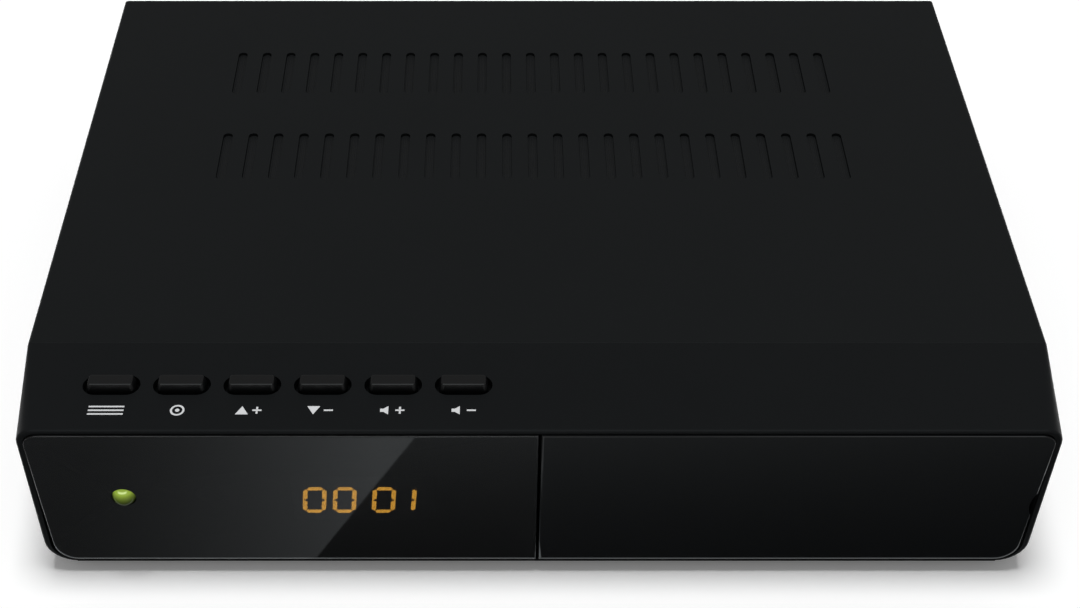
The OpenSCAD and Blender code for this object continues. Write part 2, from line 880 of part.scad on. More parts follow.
// Stiffening ribs and the latch tab on the door's back
module door_ribs() {
    rib_h = 1.4;
    side_clear = 3;
    x0 = hinge_x + knuckle_d;
    x1 = bay_right_x - side_clear;
    for (z = [bay_bottom_z + side_clear, (bay_bottom_z + bay_top_z) / 2, bay_top_z - side_clear])
        block([x0, recess_y - slice, z - rib_t / 2], [x1, recess_y + rib_h, z + rib_t / 2]);
    for (share = [0.25, 0.5, 0.75])
        translate([x0 + (x1 - x0) * share, 0, 0])
            block([-rib_t / 2, recess_y - slice, bay_bottom_z + side_clear],
                [rib_t / 2, recess_y + rib_h, bay_top_z - side_clear]);
    for (z = [bay_bottom_z + side_clear, bay_top_z - side_clear])
        block([bay_right_x - 2 * panel_gap - rib_t, recess_y - slice, z - 2],
            [bay_right_x - 2 * panel_gap, recess_y + 2 * rib_h, z + 2]);
}

// Plate against the rear edges of the bay's walls, with the openings for the ports
module port_plate() {
    rear = bay_back_y + plate_t;
    place() color("#18191a") difference() {
        block([bay_left_x - plate_lap, bay_back_y, bay_bottom_z],
            [bay_right_x + plate_lap, rear, deck_under_z]);
        along_y(bay_back_y - past, rear + past) {
            translate([usb_x, usb_mid_z])
                square([usb_w + 2 * port_gap, usb_h + 2 * port_gap], center = true);
            translate([reader_x, board_z + reader_h / 2])
                square([reader_slot_w + 2 * reader_mouth, reader_h + port_gap], center = true);
        }
    }
}

// ---- Buttons and switches ----

// Cap with a slanted side and a rounded top edge, a retaining flange and a stem
module button(i) {
    place() color("#151617")
        translate([button_x(i), button_y, 0]) {
            hull() {
                button_slice(deck_under_z, 0);
                button_slice(case_top, 0);
                for (turn = [0:30:90])
                    button_slice(button_top_z - button_edge_r * (1 - sin(turn)),
                        button_draft + button_edge_r * (1 - cos(turn)));
            }
            translate([-flange_w / 2, -flange_d / 2, flange_top_z - flange_t])
                cube([flange_w, flange_d, flange_t]);
            translate([button_corner_r - button_w / 2, -button_d / 2, flange_top_z - slice])
                cube([button_w - 2 * button_corner_r, button_d, deck_under_z - flange_top_z + 2 * slice]);
            translate([-stem_w / 2, -stem_d / 2, plunger_top_z])
                cube([stem_w, stem_d, flange_top_z - flange_t - plunger_top_z]);
        }
}

// Four rounded corners of a button's outline just below the height z, drawn in by inset
module button_slice(z, inset) {
    translate([0, 0, z - slice])
        linear_extrude(slice)
            for (side = [-1, 1], end = [-1, 1])
                translate([side * (button_w / 2 - button_corner_r), end * (button_d / 2 - button_corner_r)])
                    circle(button_corner_r - inset, $fn = hull_fn);
}

module button_menu() { button(0); }
module button_ok() { button(1); }
module button_channel_up() { button(2); }
module button_channel_down() { button(3); }
module button_volume_up() { button(4); }
module button_volume_down() { button(5); }

// Plunger of a switch, held by a collar inside the switch body
module plunger(i) {
    place() color("#d8d6cf")
        translate([button_x(i), button_y, switch_top_z - plunger_foot])
            cylinder(d = plunger_d, h = plunger_top_z - switch_top_z + plunger_foot);
}

module plunger_menu() { plunger(0); }
module plunger_ok() { plunger(1); }
module plunger_channel_up() { plunger(2); }
module plunger_channel_down() { plunger(3); }
module plunger_volume_up() { plunger(4); }
module plunger_volume_down() { plunger(5); }

module switch_bodies() {
    place() color("#2b2c2e")
        for (i = [0:button_count - 1])
            translate([button_x(i), button_y, switch_top_z])
                difference() {
                    union() {
                        translate([-switch_w / 2, -switch_d / 2, -switch_w])
                            cube([switch_w, switch_d, switch_w]);
                        for (side = [-1, 1])
                            translate([side * switch_w * 0.4, -switch_d / 2 - board_t, -switch_w * 0.7])
                                rotate([-90, 0, 0])
                                    cylinder(d = switch_pin_d, h = board_t + 0.5);
                    }
                    translate([0, 0, -plunger_foot - button_travel - fit_gap])
                        cylinder(d = plunger_d + 2 * fit_gap, h = switch_w);
                }
}

// ---- Front board and what it carries ----

module front_board() {
    place() color("#2f6b3a") difference() {
        block([front_board_x0, board_front_y, front_board_bottom_z],
            [front_board_x1, board_rear_y, front_board_top_z]);
        for (x = post_xs, z = post_zs)
            translate([x, board_front_y - past, z])
                rotate([-90, 0, 0])
                    cylinder(r = screw_clear_r, h = board_t + 2 * past);
        for (i = [0:button_count - 1], side = [-1, 1])
            translate([button_x(i) + side * switch_w * 0.4, board_front_y - past,
                switch_top_z - switch_w * 0.7])
                rotate([-90, 0, 0])
                    cylinder(d = switch_pin_d + 0.2, h = board_t + 2 * past);
    }
}

module led_display() {
    place() color("#121314") difference() {
        block([-display_x - display_w / 2, display_y, display_mid_z - display_h / 2],
            [-display_x + display_w / 2, board_front_y, display_mid_z + display_h / 2]);
        translate([-display_x, board_front_y - 1, display_mid_z])
            cube([display_w - 3, 2.2, display_h - 3], center = true);
    }
}

// Lit segments of one digit, named by their places as in "abcdef"; "i" and "j" are a one in the middle
module digit(x, lit) {
    half_h = (digit_h - segment_w) / 2;
    half_w = (digit_w - segment_w) / 2;
    tip_gap = 0.4;
    flat_l = digit_w - segment_w - tip_gap;
    tall_l = half_h - tip_gap;
    translate([x, display_mid_z])
        multmatrix([[1, tan(digit_slant), 0, 0], [0, 1, 0, 0], [0, 0, 1, 0], [0, 0, 0, 1]])
            for (name = lit) {
                if (name == "a") translate([0, half_h]) segment(flat_l, 0);
                if (name == "d") translate([0, -half_h]) segment(flat_l, 0);
                if (name == "b") translate([half_w, half_h / 2]) segment(tall_l, 90);
                if (name == "c") translate([half_w, -half_h / 2]) segment(tall_l, 90);
                if (name == "f") translate([-half_w, half_h / 2]) segment(tall_l, 90);
                if (name == "e") translate([-half_w, -half_h / 2]) segment(tall_l, 90);
                if (name == "i") translate([0, half_h / 2]) segment(tall_l, 90);
                if (name == "j") translate([0, -half_h / 2]) segment(tall_l, 90);
            }
}

// One segment with pointed ends
module segment(l, turn) {
    w = segment_w / 2;
    rotate(turn)
        polygon([[-l / 2, 0], [-l / 2 + w, w], [l / 2 - w, w], [l / 2, 0], [l / 2 - w, -w], [-l / 2 + w, -w]]);
}

module display_segments() {
    pair = digit_w + 1.4;
    from_middle = digit_w / 2 + 1.75;
    place() color("#ffb020")
        along_y(display_y - segment_t, display_y) {
            digit(-display_x - from_middle - pair, "abcdef");
            digit(-display_x - from_middle, "abcdef");
            digit(-display_x + from_middle, "abcdef");
            digit(-display_x + from_middle + pair, "ij");
        }
}

// Lamp with a domed lens, a flange and a straight body down to the board
module status_lamp() {
    flange_y = recess_y + front_wall + 1;
    place() color("#a6c13a")
        translate([-lamp_x, 0, lamp_mid_z])
            rotate([-90, 0, 0])
                rotate_extrude()
                    union() {
                        translate([0, lamp_tip_y + lamp_r])
                            intersection() {
                                circle(r = lamp_r);
                                translate([0, -lamp_r])
                                    square([lamp_r, lamp_r]);
                            }
                        translate([0, lamp_tip_y + lamp_r])
                            square([lamp_r, board_front_y - lamp_tip_y - lamp_r]);
                        translate([0, flange_y])
                            square([lamp_r + 0.4, 1]);
                    }
}

module infrared_receiver() {
    lens_y = recess_y + fit_gap;
    block_y = front_wall_y + fit_gap;
    place() color("#241d2b")
        translate([infrared_x, 0, lamp_mid_z]) {
            rotate([-90, 0, 0])
                rotate_extrude() {
                    translate([0, lens_y + infrared_r])
                        intersection() {
                            circle(r = infrared_r);
                            translate([0, -infrared_r])
                                square([infrared_r, infrared_r]);
                        }
                    translate([0, lens_y + infrared_r])
                        square([infrared_r, block_y + 1 - lens_y - infrared_r]);
                }
            block([-infrared_block / 2, block_y, -infrared_block * 0.6],
                [infrared_block / 2, board_front_y, infrared_block * 0.6]);
        }
}

module front_header() {
    place() color("#e6e3d8") difference() {
        block([header_x - header_w / 2, board_rear_y, header_z - header_h / 2],
            [header_x + header_w / 2, board_rear_y + header_d, header_z + header_h / 2]);
        translate([header_x, board_rear_y + header_d, header_z])
            cube([ribbon_w + 2 * fit_gap, 2 * header_d - 2, ribbon_t + 2 * fit_gap], center = true);
    }
}

module board_header() {
    place() color("#e6e3d8") difference() {
        block([header_x - header_w / 2, board_header_y - header_h / 2, board_z],
            [header_x + header_w / 2, board_header_y + header_h / 2, board_z + header_d]);
        translate([header_x, board_header_y, board_z + header_d])
            cube([ribbon_w + 2 * fit_gap, ribbon_t + 2 * fit_gap, 2 * header_d - 2], center = true);
    }
}

// Flat cable from the front board straight back, then down in one bend to the main board
module ribbon_cable() {
    bend_y = board_header_y - ribbon_bend_r;
    bend_z = header_z - ribbon_bend_r;
    start_y = board_rear_y + ribbon_seat;
    end_z = board_z + ribbon_seat;
    place() color("#c9ccd0")
        translate([header_x - ribbon_w / 2, 0, 0])
            rotate([90, 0, 90])
                linear_extrude(ribbon_w) {
                    translate([start_y, header_z - ribbon_t / 2])
                        square([bend_y - start_y, ribbon_t]);
                    translate([board_header_y - ribbon_t / 2, end_z])
                        square([ribbon_t, bend_z - end_z]);
                    translate([bend_y, bend_z])
                        intersection() {
                            difference() {
                                circle(r = ribbon_bend_r + ribbon_t / 2);
                                circle(r = ribbon_bend_r - ribbon_t / 2);
                            }
                            square(2 * ribbon_bend_r);
                        }
                }
}

// ---- Main board and the ports behind the door ----

module main_board() {
    place() color("#2f6b3a") difference() {
        union() {
            block([board_x0, board_step_y, board_z0], [board_x1, board_rear_edge_y, board_z]);
            block([board_step_x, board_front_edge_y, board_z0], [board_x1, board_step_y, board_z]);
        }
        for (at = standoff_at)
            translate([at.x, at.y, board_z0 - past])
                cylinder(r = screw_clear_r, h = board_t + 2 * past);
    }
}

module usb_port() {
    place() color("#c9cbcd") difference() {
        translate([usb_x, port_front_y + usb_d / 2, usb_mid_z])
            cube([usb_w, usb_d, usb_h], center = true);
        translate([usb_x, port_front_y + usb_d / 2 - 1, usb_mid_z])
            cube([usb_w - 2 * usb_sheet, usb_d, usb_h - 2 * usb_sheet], center = true);
    }
    place() color("#c9cbcd")
        block([usb_x - usb_w / 2, board_front_edge_y, board_z],
            [usb_x + usb_w / 2, port_front_y + usb_d, usb_mid_z - usb_h / 2]);
}

module usb_tongue() {
    place() color("#1b1c20")
        block([usb_x - usb_tongue_w / 2, port_front_y + 1, usb_mid_z + 0.2],
            [usb_x + usb_tongue_w / 2, port_front_y + usb_d - 1, usb_mid_z + 2]);
}

module card_reader() {
    face_y = port_front_y + 0.3;
    place() color("#17181a") difference() {
        union() {
            block([reader_x - reader_w / 2, board_front_edge_y, board_z],
                [reader_x + reader_w / 2, board_front_edge_y + reader_d, board_z + reader_h]);
            block([reader_x - reader_slot_w / 2 - 2, face_y, board_z + 0.5],
                [reader_x + reader_slot_w / 2 + 2, board_front_edge_y + 1, board_z + reader_h - 0.5]);
        }
        translate([reader_x - reader_slot_w / 2, face_y - past, board_z + (reader_h - reader_slot_h) / 2])
            cube([reader_slot_w, reader_d, reader_slot_h]);
        translate([reader_x, board_front_edge_y + reader_d / 2, board_z + reader_h])
            cube([reader_w - 16, reader_d - 16, 3], center = true);
    }
}

// ---- Sockets on the rear wall ----

module tuner_can() {
    place() color("#b9bcbe")
        block([can_x - can_w / 2, can_rear_y - can_d, board_z],
            [can_x + can_w / 2, can_rear_y, board_z + can_h]);
}

// Lid with folded edges that clip over the can
module tuner_lid() {
    rim_h = 3;
    out = can_sheet + fit_gap;
    place() color("#c6c9cb") difference() {
        block([can_x - can_w / 2 - out, can_rear_y - can_d - out, board_z + can_h - rim_h],
            [can_x + can_w / 2 + out, can_rear_y, board_z + can_h + can_sheet]);
        block([can_x - can_w / 2 - fit_gap, can_rear_y - can_d - fit_gap, board_z + can_h - rim_h - past],
            [can_x + can_w / 2 + fit_gap, can_rear_y + past, board_z + can_h]);
        for (i = [-2:2], j = [-1:1])
            translate([can_x + i * can_w / 6, can_rear_y - can_d / 2 + j * can_d / 4, board_z + can_h - past])
                cylinder(d = 2, h = can_sheet + 2 * past);
    }
}

// Threaded barrel with a shoulder, a flange on the can and a contact bore
module aerial_connector(x) {
    shoulder_l = sheet_t + fit_gap + 1.2;
    bore_d = 1.1;
    place() color("#cfd1d3")
        translate([x, can_rear_y, aerial_z])
            rotate([-90, 0, 0])
                difference() {
                    union() {
                        cylinder(r = aerial_r, h = panel_y + aerial_l - can_rear_y);
                        translate([0, 0, panel_y + fit_gap - can_rear_y])
                            cylinder(d = 11, h = 2, $fn = 6);
                    }
                    translate([0, 0, shoulder_l])
                        cylinder(d = bore_d, h = aerial_l + 4);
                    translate([0, 0, panel_y + aerial_l - can_rear_y - 0.6])
                        cylinder(r = aerial_r - 1.1, h = 1);
                }
}

module aerial_input() { aerial_connector(aerial_x1); }
module aerial_output() { aerial_connector(aerial_x0); }

module video_port() {
    face_y = panel_y + 0.5;
    place() color("#c9cbcd") {
        difference() {
            along_y(face_y - video_d, face_y)
                video_outline(0);
            along_y(face_y - video_d + 1, face_y + past)
                video_outline(0.5);
        }
        block([video_x - video_w / 2 + 2, face_y - video_d, board_z],
            [video_x + video_w / 2 - 2, board_rear_edge_y, video_mid_z - video_h / 2]);
    }
}

// Six-sided mouth with its two lower corners cut off
module video_outline(inset) {
    w = video_w / 2 - inset;
    h = video_h / 2 - inset;
    translate([video_x, video_mid_z])
        polygon([[-w, h], [w, h], [w, -h * 0.2], [w - 1.6, -h], [-w + 1.6, -h], [-w, -h * 0.2]]);
}

module video_tongue() {
    place() color("#1b1c20")
        block([video_x - video_w / 2 + 2, panel_y + 0.5 - video_d + 1, video_mid_z - 0.7],
            [video_x + video_w / 2 - 2, panel_y - 0.3, video_mid_z + 0.9]);
}

// Wide audio and video socket with a slanted corner and two rows of contact slots
module scart_socket() {
    face_y = panel_y + scart_out;
    slant = 5;
    w = scart_w / 2;
    h = scart_h / 2;
    contact_pitch = 3.8;
    place() color("#1a1b1d") difference() {
        union() {
            along_y(wall_inner_y - scart_d, face_y)
                translate([scart_x, scart_mid_z])
                    polygon([[-w, -h], [w, -h], [w, h], [-w + slant, h], [-w, h - slant]]);
            block([scart_x - w + 2, wall_inner_y - scart_d, board_z],
                [scart_x + w - 2, wall_inner_y - 2, scart_mid_z - h]);
        }
        along_y(face_y - 2, face_y + past)
            translate([scart_x, scart_mid_z])
                difference() {
                    polygon([[-w + 1, -h + 1], [w - 1, -h + 1], [w - 1, h - 1],
                        [-w + slant + 0.6, h - 1], [-w + 1, h - slant - 0.6]]);
                    square([scart_w - 10, scart_h - 7], center = true);
                }
        for (i = [-4.5:4.5], side = [-1, 1])
            translate([scart_x + i * contact_pitch + side * contact_pitch / 4, face_y,
                scart_mid_z + side * 2])
                cube([0.9, 8, 2.6], center = true);
    }
}

// Round audio jack: a collar with a contact bore on a block
module audio_jack() {
    wall = 1;
    block_y = wall_inner_y - fit_gap;
    place() color("#c8641e")
        difference() {
            union() {
                block([jack_x - jack_block_w / 2, block_y - jack_block_d, board_z],
                    [jack_x + jack_block_w / 2, block_y, board_z + jack_block_h]);
                translate([jack_x, block_y, jack_z])
                    rotate([-90, 0, 0])
                        cylinder(r = jack_r + port_gap - fit_gap, h = panel_y + jack_shoulder - block_y);
                translate([jack_x, block_y, jack_z])
                    rotate([-90, 0, 0])
                        cylinder(r = jack_r, h = panel_y + jack_out - block_y);
            }
            translate([jack_x, block_y - 4, jack_z])
                rotate([-90, 0, 0])
                    cylinder(r = jack_bore_r, h = 4 + panel_y + jack_out - block_y);
            translate([jack_x, panel_y + 1, jack_z])
                rotate([-90, 0, 0])
                    cylinder(r = jack_r - wall, h = jack_out);
        }
}

module power_inlet() {
    place() color("#1a1b1d") difference() {
        block([inlet_x - inlet_w / 2, panel_y + inlet_out - inlet_d_block, board_z],
            [inlet_x + inlet_w / 2, panel_y + inlet_out, board_z + inlet_h]);
        translate([inlet_x, panel_y + inlet_out - inlet_d_block + inlet_floor, inlet_z])
            rotate([-90, 0, 0])
                cylinder(d = inlet_d, h = inlet_d_block);
    }
}

module power_pin() {
    place() color("#c9cbcd")
        translate([inlet_x, panel_y + inlet_out - inlet_d_block + inlet_floor, inlet_z])
            rotate([-90, 0, 0])
                cylinder(d = inlet_pin_d, h = inlet_d_block - inlet_floor - inlet_pin_short);
}

// ---- Parts on the main board ----

// Flat chip with a dimple that marks its first corner
module chip(at, side_x, side_y, t) {
    translate([at.x, at.y, board_z])
        difference() {
            translate([-side_x / 2, -side_y / 2, 0])
                cube([side_x, side_y, t]);
            translate([-side_x / 2 + 1.5, side_y / 2 - 1.5, t - 0.1])
                cylinder(d = 1.2, h = 1);
        }
}

module main_chip() {
    place() color("#18191b")
        chip([chip_x, chip_y], chip_side, chip_side, chip_t);
}

module heat_sink() {
    base_z = board_z + chip_t;
    fin_pitch = (sink_side - fin_t) / (fin_count - 1);
    place() color("#aeb1b3")
        translate([chip_x - sink_side / 2, chip_y - sink_side / 2, base_z]) {
            cube([sink_side, sink_side, sink_base]);
            for (i = [0:fin_count - 1])
                translate([i * fin_pitch, 0, 0])
                    cube([fin_t, sink_side, sink_h]);
        }
}

module memory_chips() {
    place() color("#18191b")
        for (i = [0, 1])
            chip([chip_x - sink_side / 2 - small_chip_gap, chip_y + 3 + (i - 0.5) * 16], 9, 13, 1.2);
}

module flash_chip() {
    place() color("#18191b")
        chip([chip_x + sink_side / 2 + small_chip_gap, chip_y], 12, 18, 1.2);
}

module aerial_supply_chip() {
    place() color("#18191b")
        chip([can_x - can_w / 2 - small_chip_gap, can_rear_y - can_d - small_chip_gap], 6, 6, 1.4);
}

module regulators() {
    place() color("#18191b")
        for (i = [0, 1])
            chip([supply_x, supply_y + i * supply_pitch], 5, 6, 1.5);
}

// Round capacitors with a groove near the foot
module capacitors() {
    can_at = [
        [inlet_x - 6, supply_y + 1, 5, 14], [inlet_x + 7, supply_y + 1, 4, 12],
        [inlet_x - 6, supply_y + supply_pitch, 4, 12], [inlet_x + 6, supply_y + supply_pitch, 4, 12],
        [inlet_x + 18, supply_y + supply_pitch - 2, 3.2, 11],
    ];
    place() color("#23252b")
        for (at = can_at)
            translate([at[0], at[1], board_z])
                rotate_extrude()
                    difference() {
                        square([at[2], at[3]]);
                        translate([at[2], 2])
                            circle(0.5);
                    }
}

// Drum coils: two discs on a core
module power_coils() {
    drum_d = 9;
    drum_h = 5;
    place() color("#2a2b2d")
        for (i = [0, 1])
            translate([supply_x + 10, supply_y + i * supply_pitch, board_z]) {
                cylinder(d = drum_d, h = 1);
                cylinder(d = drum_d * 0.72, h = drum_h);
                translate([0, 0, drum_h - 1])
                    cylinder(d = drum_d, h = 1);
            }
}

module crystal() {
    place() color("#c9cbcd")
        translate([chip_x, chip_y + sink_side / 2 + 4, board_z])
            linear_extrude(3.5)
                rotate(90)
                    obround(4.6, 11);
}

top_cover();
dust_screen();
chassis_tray();
front_bezel();
port_plate();
display_window();
front_flap();
rubber_feet();
cover_screws();
board_screws();
bezel_screws();
front_board_screws();
button_menu();
button_ok();
button_channel_up();
button_channel_down();
button_volume_up();
button_volume_down();
plunger_menu();
plunger_ok();
plunger_channel_up();
plunger_channel_down();
plunger_volume_up();
plunger_volume_down();
switch_bodies();
front_board();
led_display();
display_segments();
status_lamp();
infrared_receiver();
front_header();
ribbon_cable();
main_board();
board_header();
usb_port();
usb_tongue();
card_reader();
tuner_can();
tuner_lid();
aerial_input();
aerial_output();
video_port();
video_tongue();
scart_socket();
audio_jack();
power_inlet();
power_pin();
main_chip();
heat_sink();
memory_chips();
flash_chip();
aerial_supply_chip();
regulators();
capacitors();
power_coils();
crystal();
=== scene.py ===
import json
import math

import bmesh
import bpy
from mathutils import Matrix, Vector

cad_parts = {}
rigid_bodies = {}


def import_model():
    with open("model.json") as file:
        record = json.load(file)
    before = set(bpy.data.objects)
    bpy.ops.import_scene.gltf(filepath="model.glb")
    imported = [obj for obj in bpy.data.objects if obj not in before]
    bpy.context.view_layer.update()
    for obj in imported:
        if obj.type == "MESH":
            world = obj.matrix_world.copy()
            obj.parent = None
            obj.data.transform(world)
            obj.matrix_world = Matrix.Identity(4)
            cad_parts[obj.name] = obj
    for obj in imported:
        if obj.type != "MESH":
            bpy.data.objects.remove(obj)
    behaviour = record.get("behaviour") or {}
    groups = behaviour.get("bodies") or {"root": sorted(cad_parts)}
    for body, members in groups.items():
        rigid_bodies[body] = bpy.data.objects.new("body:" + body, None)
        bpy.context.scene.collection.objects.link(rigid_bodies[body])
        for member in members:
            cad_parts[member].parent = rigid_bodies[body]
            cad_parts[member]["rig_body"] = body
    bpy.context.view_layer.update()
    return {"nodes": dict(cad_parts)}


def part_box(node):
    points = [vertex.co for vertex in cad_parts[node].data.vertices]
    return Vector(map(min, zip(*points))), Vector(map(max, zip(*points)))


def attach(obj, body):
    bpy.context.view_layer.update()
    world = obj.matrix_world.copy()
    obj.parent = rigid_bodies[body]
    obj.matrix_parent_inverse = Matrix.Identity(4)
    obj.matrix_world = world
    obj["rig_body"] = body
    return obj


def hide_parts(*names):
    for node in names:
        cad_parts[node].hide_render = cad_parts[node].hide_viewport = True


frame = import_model()
cadNodes = frame["nodes"]
mm = 0.001

# camera

view = {"place": (-0.008689, -0.319768, 0.303683), "tilt": math.radians(46.82), "lens": 56.95, "sensor": 36.0,
        "shift": 0.0398, "near": 0.01}


def makeCamera():
    lens = bpy.data.cameras.new("viewCamera")
    lens.lens = view["lens"]
    lens.sensor_width = view["sensor"]
    lens.shift_x = view["shift"]
    lens.clip_start = view["near"]
    camera = bpy.data.objects.new("viewCamera", lens)
    camera.location = view["place"]
    camera.rotation_euler = (view["tilt"], 0, 0)
    bpy.context.scene.collection.objects.link(camera)
    bpy.context.scene.camera = camera


makeCamera()
print("camera set")

# effects shared by several materials


def link(tree, fromSocket, toSocket):
    tree.links.new(fromSocket, toSocket)


def addNode(tree, kind, inputs=None, **settings):
    # inputs go by name or number: a socket is linked, a plain value is set
    node = tree.nodes.new(kind)
    for name, value in settings.items():
        setattr(node, name, value)
    for name, value in (inputs or {}).items():
        if isinstance(value, bpy.types.NodeSocket):
            link(tree, value, node.inputs[name])
        else:
            node.inputs[name].default_value = value
    return node


def mathNode(tree, operation, first, second=0.0, third=0.0, clamp=False):
    inputs = {0: first, 1: second, 2: third}
    return addNode(tree, "ShaderNodeMath", inputs, operation=operation, use_clamp=clamp).outputs[0]


def ramp(tree, value, zero, span):
    # nothing up to a place, rising to one over a span, which may be negative
    return mathNode(tree, "MULTIPLY_ADD", value, 1 / span, -zero / span, clamp=True)


def wave(tree, value, pitch):
    # cosine that runs between nothing and one
    turn = mathNode(tree, "MULTIPLY", value, 2 * math.pi / pitch)
    return mathNode(tree, "MULTIPLY_ADD", mathNode(tree, "COSINE", turn), 0.5, 0.5)


def scaleColour(tree, colour, factor):
    return addNode(tree, "ShaderNodeVectorMath", {0: colour, "Scale": factor}, operation="SCALE").outputs[0]


def mixColours(tree, factor, first, second, blend="MIX"):
    inputs = {"Factor": factor, 6: first, 7: second}
    return addNode(tree, "ShaderNodeMix", inputs, data_type="RGBA", blend_type=blend).outputs[2]


def objectPoint(tree):
    return addNode(tree, "ShaderNodeTexCoord").outputs["Object"]


def pointParts(tree):
    return addNode(tree, "ShaderNodeSeparateXYZ", {"Vector": objectPoint(tree)}).outputs


def noise(tree, scale, detail, place=None, **inputs):
    place = objectPoint(tree) if place is None else place
    values = {"Vector": place, "Scale": scale, "Detail": detail, **inputs}
    return addNode(tree, "ShaderNodeTexNoise", values).outputs["Fac"]


def startGroup(name, inputs, outputs):
    group = bpy.data.node_groups.new(name, "ShaderNodeTree")
    for label, kind, value in inputs:
        socket = group.interface.new_socket(name=label, in_out="INPUT", socket_type=kind)
        socket.default_value = value
    for label, kind in outputs:
        group.interface.new_socket(name=label, in_out="OUTPUT", socket_type=kind)
    return group, group.nodes.new("NodeGroupInput").outputs, group.nodes.new("NodeGroupOutput").inputs


def makeToneBreakup():
    # colour that wanders a little darker and lighter
    inputs = [("Colour", "NodeSocketColor", (0.5, 0.5, 0.5, 1)), ("Amount", "NodeSocketFloat", 0.1),
              ("Scale", "NodeSocketFloat", 60.0)]
    group, given, result = startGroup("toneBreakup", inputs, [("Colour", "NodeSocketColor")])
    cloud = noise(group, given["Scale"], 4.0, Roughness=0.6)
    swing = mathNode(group, "MULTIPLY_ADD", cloud, 2.0, -1.0)
    factor = mathNode(group, "MULTIPLY_ADD", swing, given["Amount"], 1.0)
    link(group, scaleColour(group, given["Colour"], factor), result["Colour"])
    return group


def makeRoughBreakup():
    # roughness with faint handling marks and a finer scatter
    finer = 14.0
    inputs = [("Roughness", "NodeSocketFloat", 0.4), ("Amount", "NodeSocketFloat", 0.05),
              ("Scale", "NodeSocketFloat", 40.0)]
    group, given, result = startGroup("roughBreakup", inputs, [("Roughness", "NodeSocketFloat")])
    marks = noise(group, given["Scale"], 6.0, Distortion=0.6)
    fine = noise(group, mathNode(group, "MULTIPLY", given["Scale"], finer), 2.0)
    swing = mathNode(group, "SUBTRACT", mathNode(group, "ADD", marks, fine), 1.0)
    value = mathNode(group, "MULTIPLY_ADD", swing, given["Amount"], given["Roughness"], clamp=True)
    link(group, value, result["Roughness"])
    return group


def makeGrain():
    # raised grain of a moulded or powder coated face, with softer swells under it
    coarser = 0.12
    inputs = [("Scale", "NodeSocketFloat", 2500.0), ("Swell", "NodeSocketFloat", 0.35)]
    group, given, result = startGroup("faceGrain", inputs, [("Height", "NodeSocketFloat")])
    fine = noise(group, given["Scale"], 3.0, Roughness=0.55)
    swell = noise(group, mathNode(group, "MULTIPLY", given["Scale"], coarser), 1.0)
    link(group, mathNode(group, "MULTIPLY_ADD", swell, given["Swell"], fine), result["Height"])
    return group


def makeDrawnLines():
    # fine lines left by rolling or drawing, along X, Y or Z by the stretch
    level, soft = 0.62, 0.1
    inputs = [("Stretch", "NodeSocketVector", (40.0, 3000.0, 3000.0))]
    outputs = [("Height", "NodeSocketFloat"), ("Mask", "NodeSocketFloat")]
    group, given, result = startGroup("drawnLines", inputs, outputs)
    mapping = addNode(group, "ShaderNodeMapping", {"Vector": objectPoint(group), "Scale": given["Stretch"]})
    lines = noise(group, 1.0, 2.0, place=mapping.outputs[0])
    link(group, mathNode(group, "SMOOTH_MIN", lines, level, soft), result["Height"])
    link(group, lines, result["Mask"])
    return group


def makeSpangle():
    # crystal pattern of a zinc coating
    outputs = [("Mask", "NodeSocketFloat"), ("Height", "NodeSocketFloat")]
    group, given, result = startGroup("zincSpangle", [("Scale", "NodeSocketFloat", 180.0)], outputs)
    inputs = {"Vector": objectPoint(group), "Scale": given["Scale"], "Randomness": 1.0}
    cells = addNode(group, "ShaderNodeTexVoronoi", inputs).outputs
    link(group, addNode(group, "ShaderNodeRGBToBW", {"Color": cells["Color"]}).outputs[0], result["Mask"])
    link(group, cells["Distance"], result["Height"])
    return group


def makeTraces():
    # copper tracks and pads under solder mask, the tracks turned block by block
    look = {"blocks": 60.0, "turned": 0.5, "line": 0.6, "ground": 45.0, "bare": 0.48, "pad": 0.22,
            "rare": 0.8}
    outputs = [("Tracks", "NodeSocketFloat"), ("Pads", "NodeSocketFloat")]
    group, given, result = startGroup("boardTraces", [("Pitch", "NodeSocketFloat", 400.0)], outputs)
    place = objectPoint(group)

    def cellColours(cells):
        return addNode(group, "ShaderNodeSeparateColor", {"Color": cells["Color"]}).outputs

    def stripes(value):
        phase = mathNode(group, "FRACT", mathNode(group, "MULTIPLY", value, given["Pitch"]))
        return mathNode(group, "GREATER_THAN", phase, look["line"])

    inputs = {"Vector": place, "Scale": look["blocks"]}
    blocks = addNode(group, "ShaderNodeTexVoronoi", inputs, distance="CHEBYCHEV").outputs
    pick = mathNode(group, "GREATER_THAN", cellColours(blocks)[0], look["turned"])
    parts = addNode(group, "ShaderNodeSeparateXYZ", {"Vector": place}).outputs
    chosen = mathNode(group, "MULTIPLY", stripes(parts[0]), pick)
    along = stripes(mathNode(group, "ADD", parts[1], parts[2]))
    other = mathNode(group, "MULTIPLY", along, mathNode(group, "SUBTRACT", 1.0, pick))
    keep = mathNode(group, "GREATER_THAN", noise(group, look["ground"], 0.0, place=place), look["bare"])
    tracks = mathNode(group, "MULTIPLY", mathNode(group, "MAXIMUM", chosen, other), keep)
    dots = addNode(group, "ShaderNodeTexVoronoi", {"Vector": place, "Scale": given["Pitch"]}).outputs
    spots = mathNode(group, "LESS_THAN", dots["Distance"], look["pad"])
    kept = mathNode(group, "GREATER_THAN", cellColours(dots)[1], look["rare"])
    pads = mathNode(group, "MULTIPLY", spots, kept)
    link(group, tracks, result["Tracks"])
    link(group, pads, result["Pads"])
    return group


toneBreakup = makeToneBreakup()
roughBreakup = makeRoughBreakup()
faceGrain = makeGrain()
drawnLines = makeDrawnLines()
zincSpangle = makeSpangle()
boardTraces = makeTraces()


def useGroup(tree, group, **inputs):
    return addNode(tree, "ShaderNodeGroup", inputs, node_tree=group).outputs


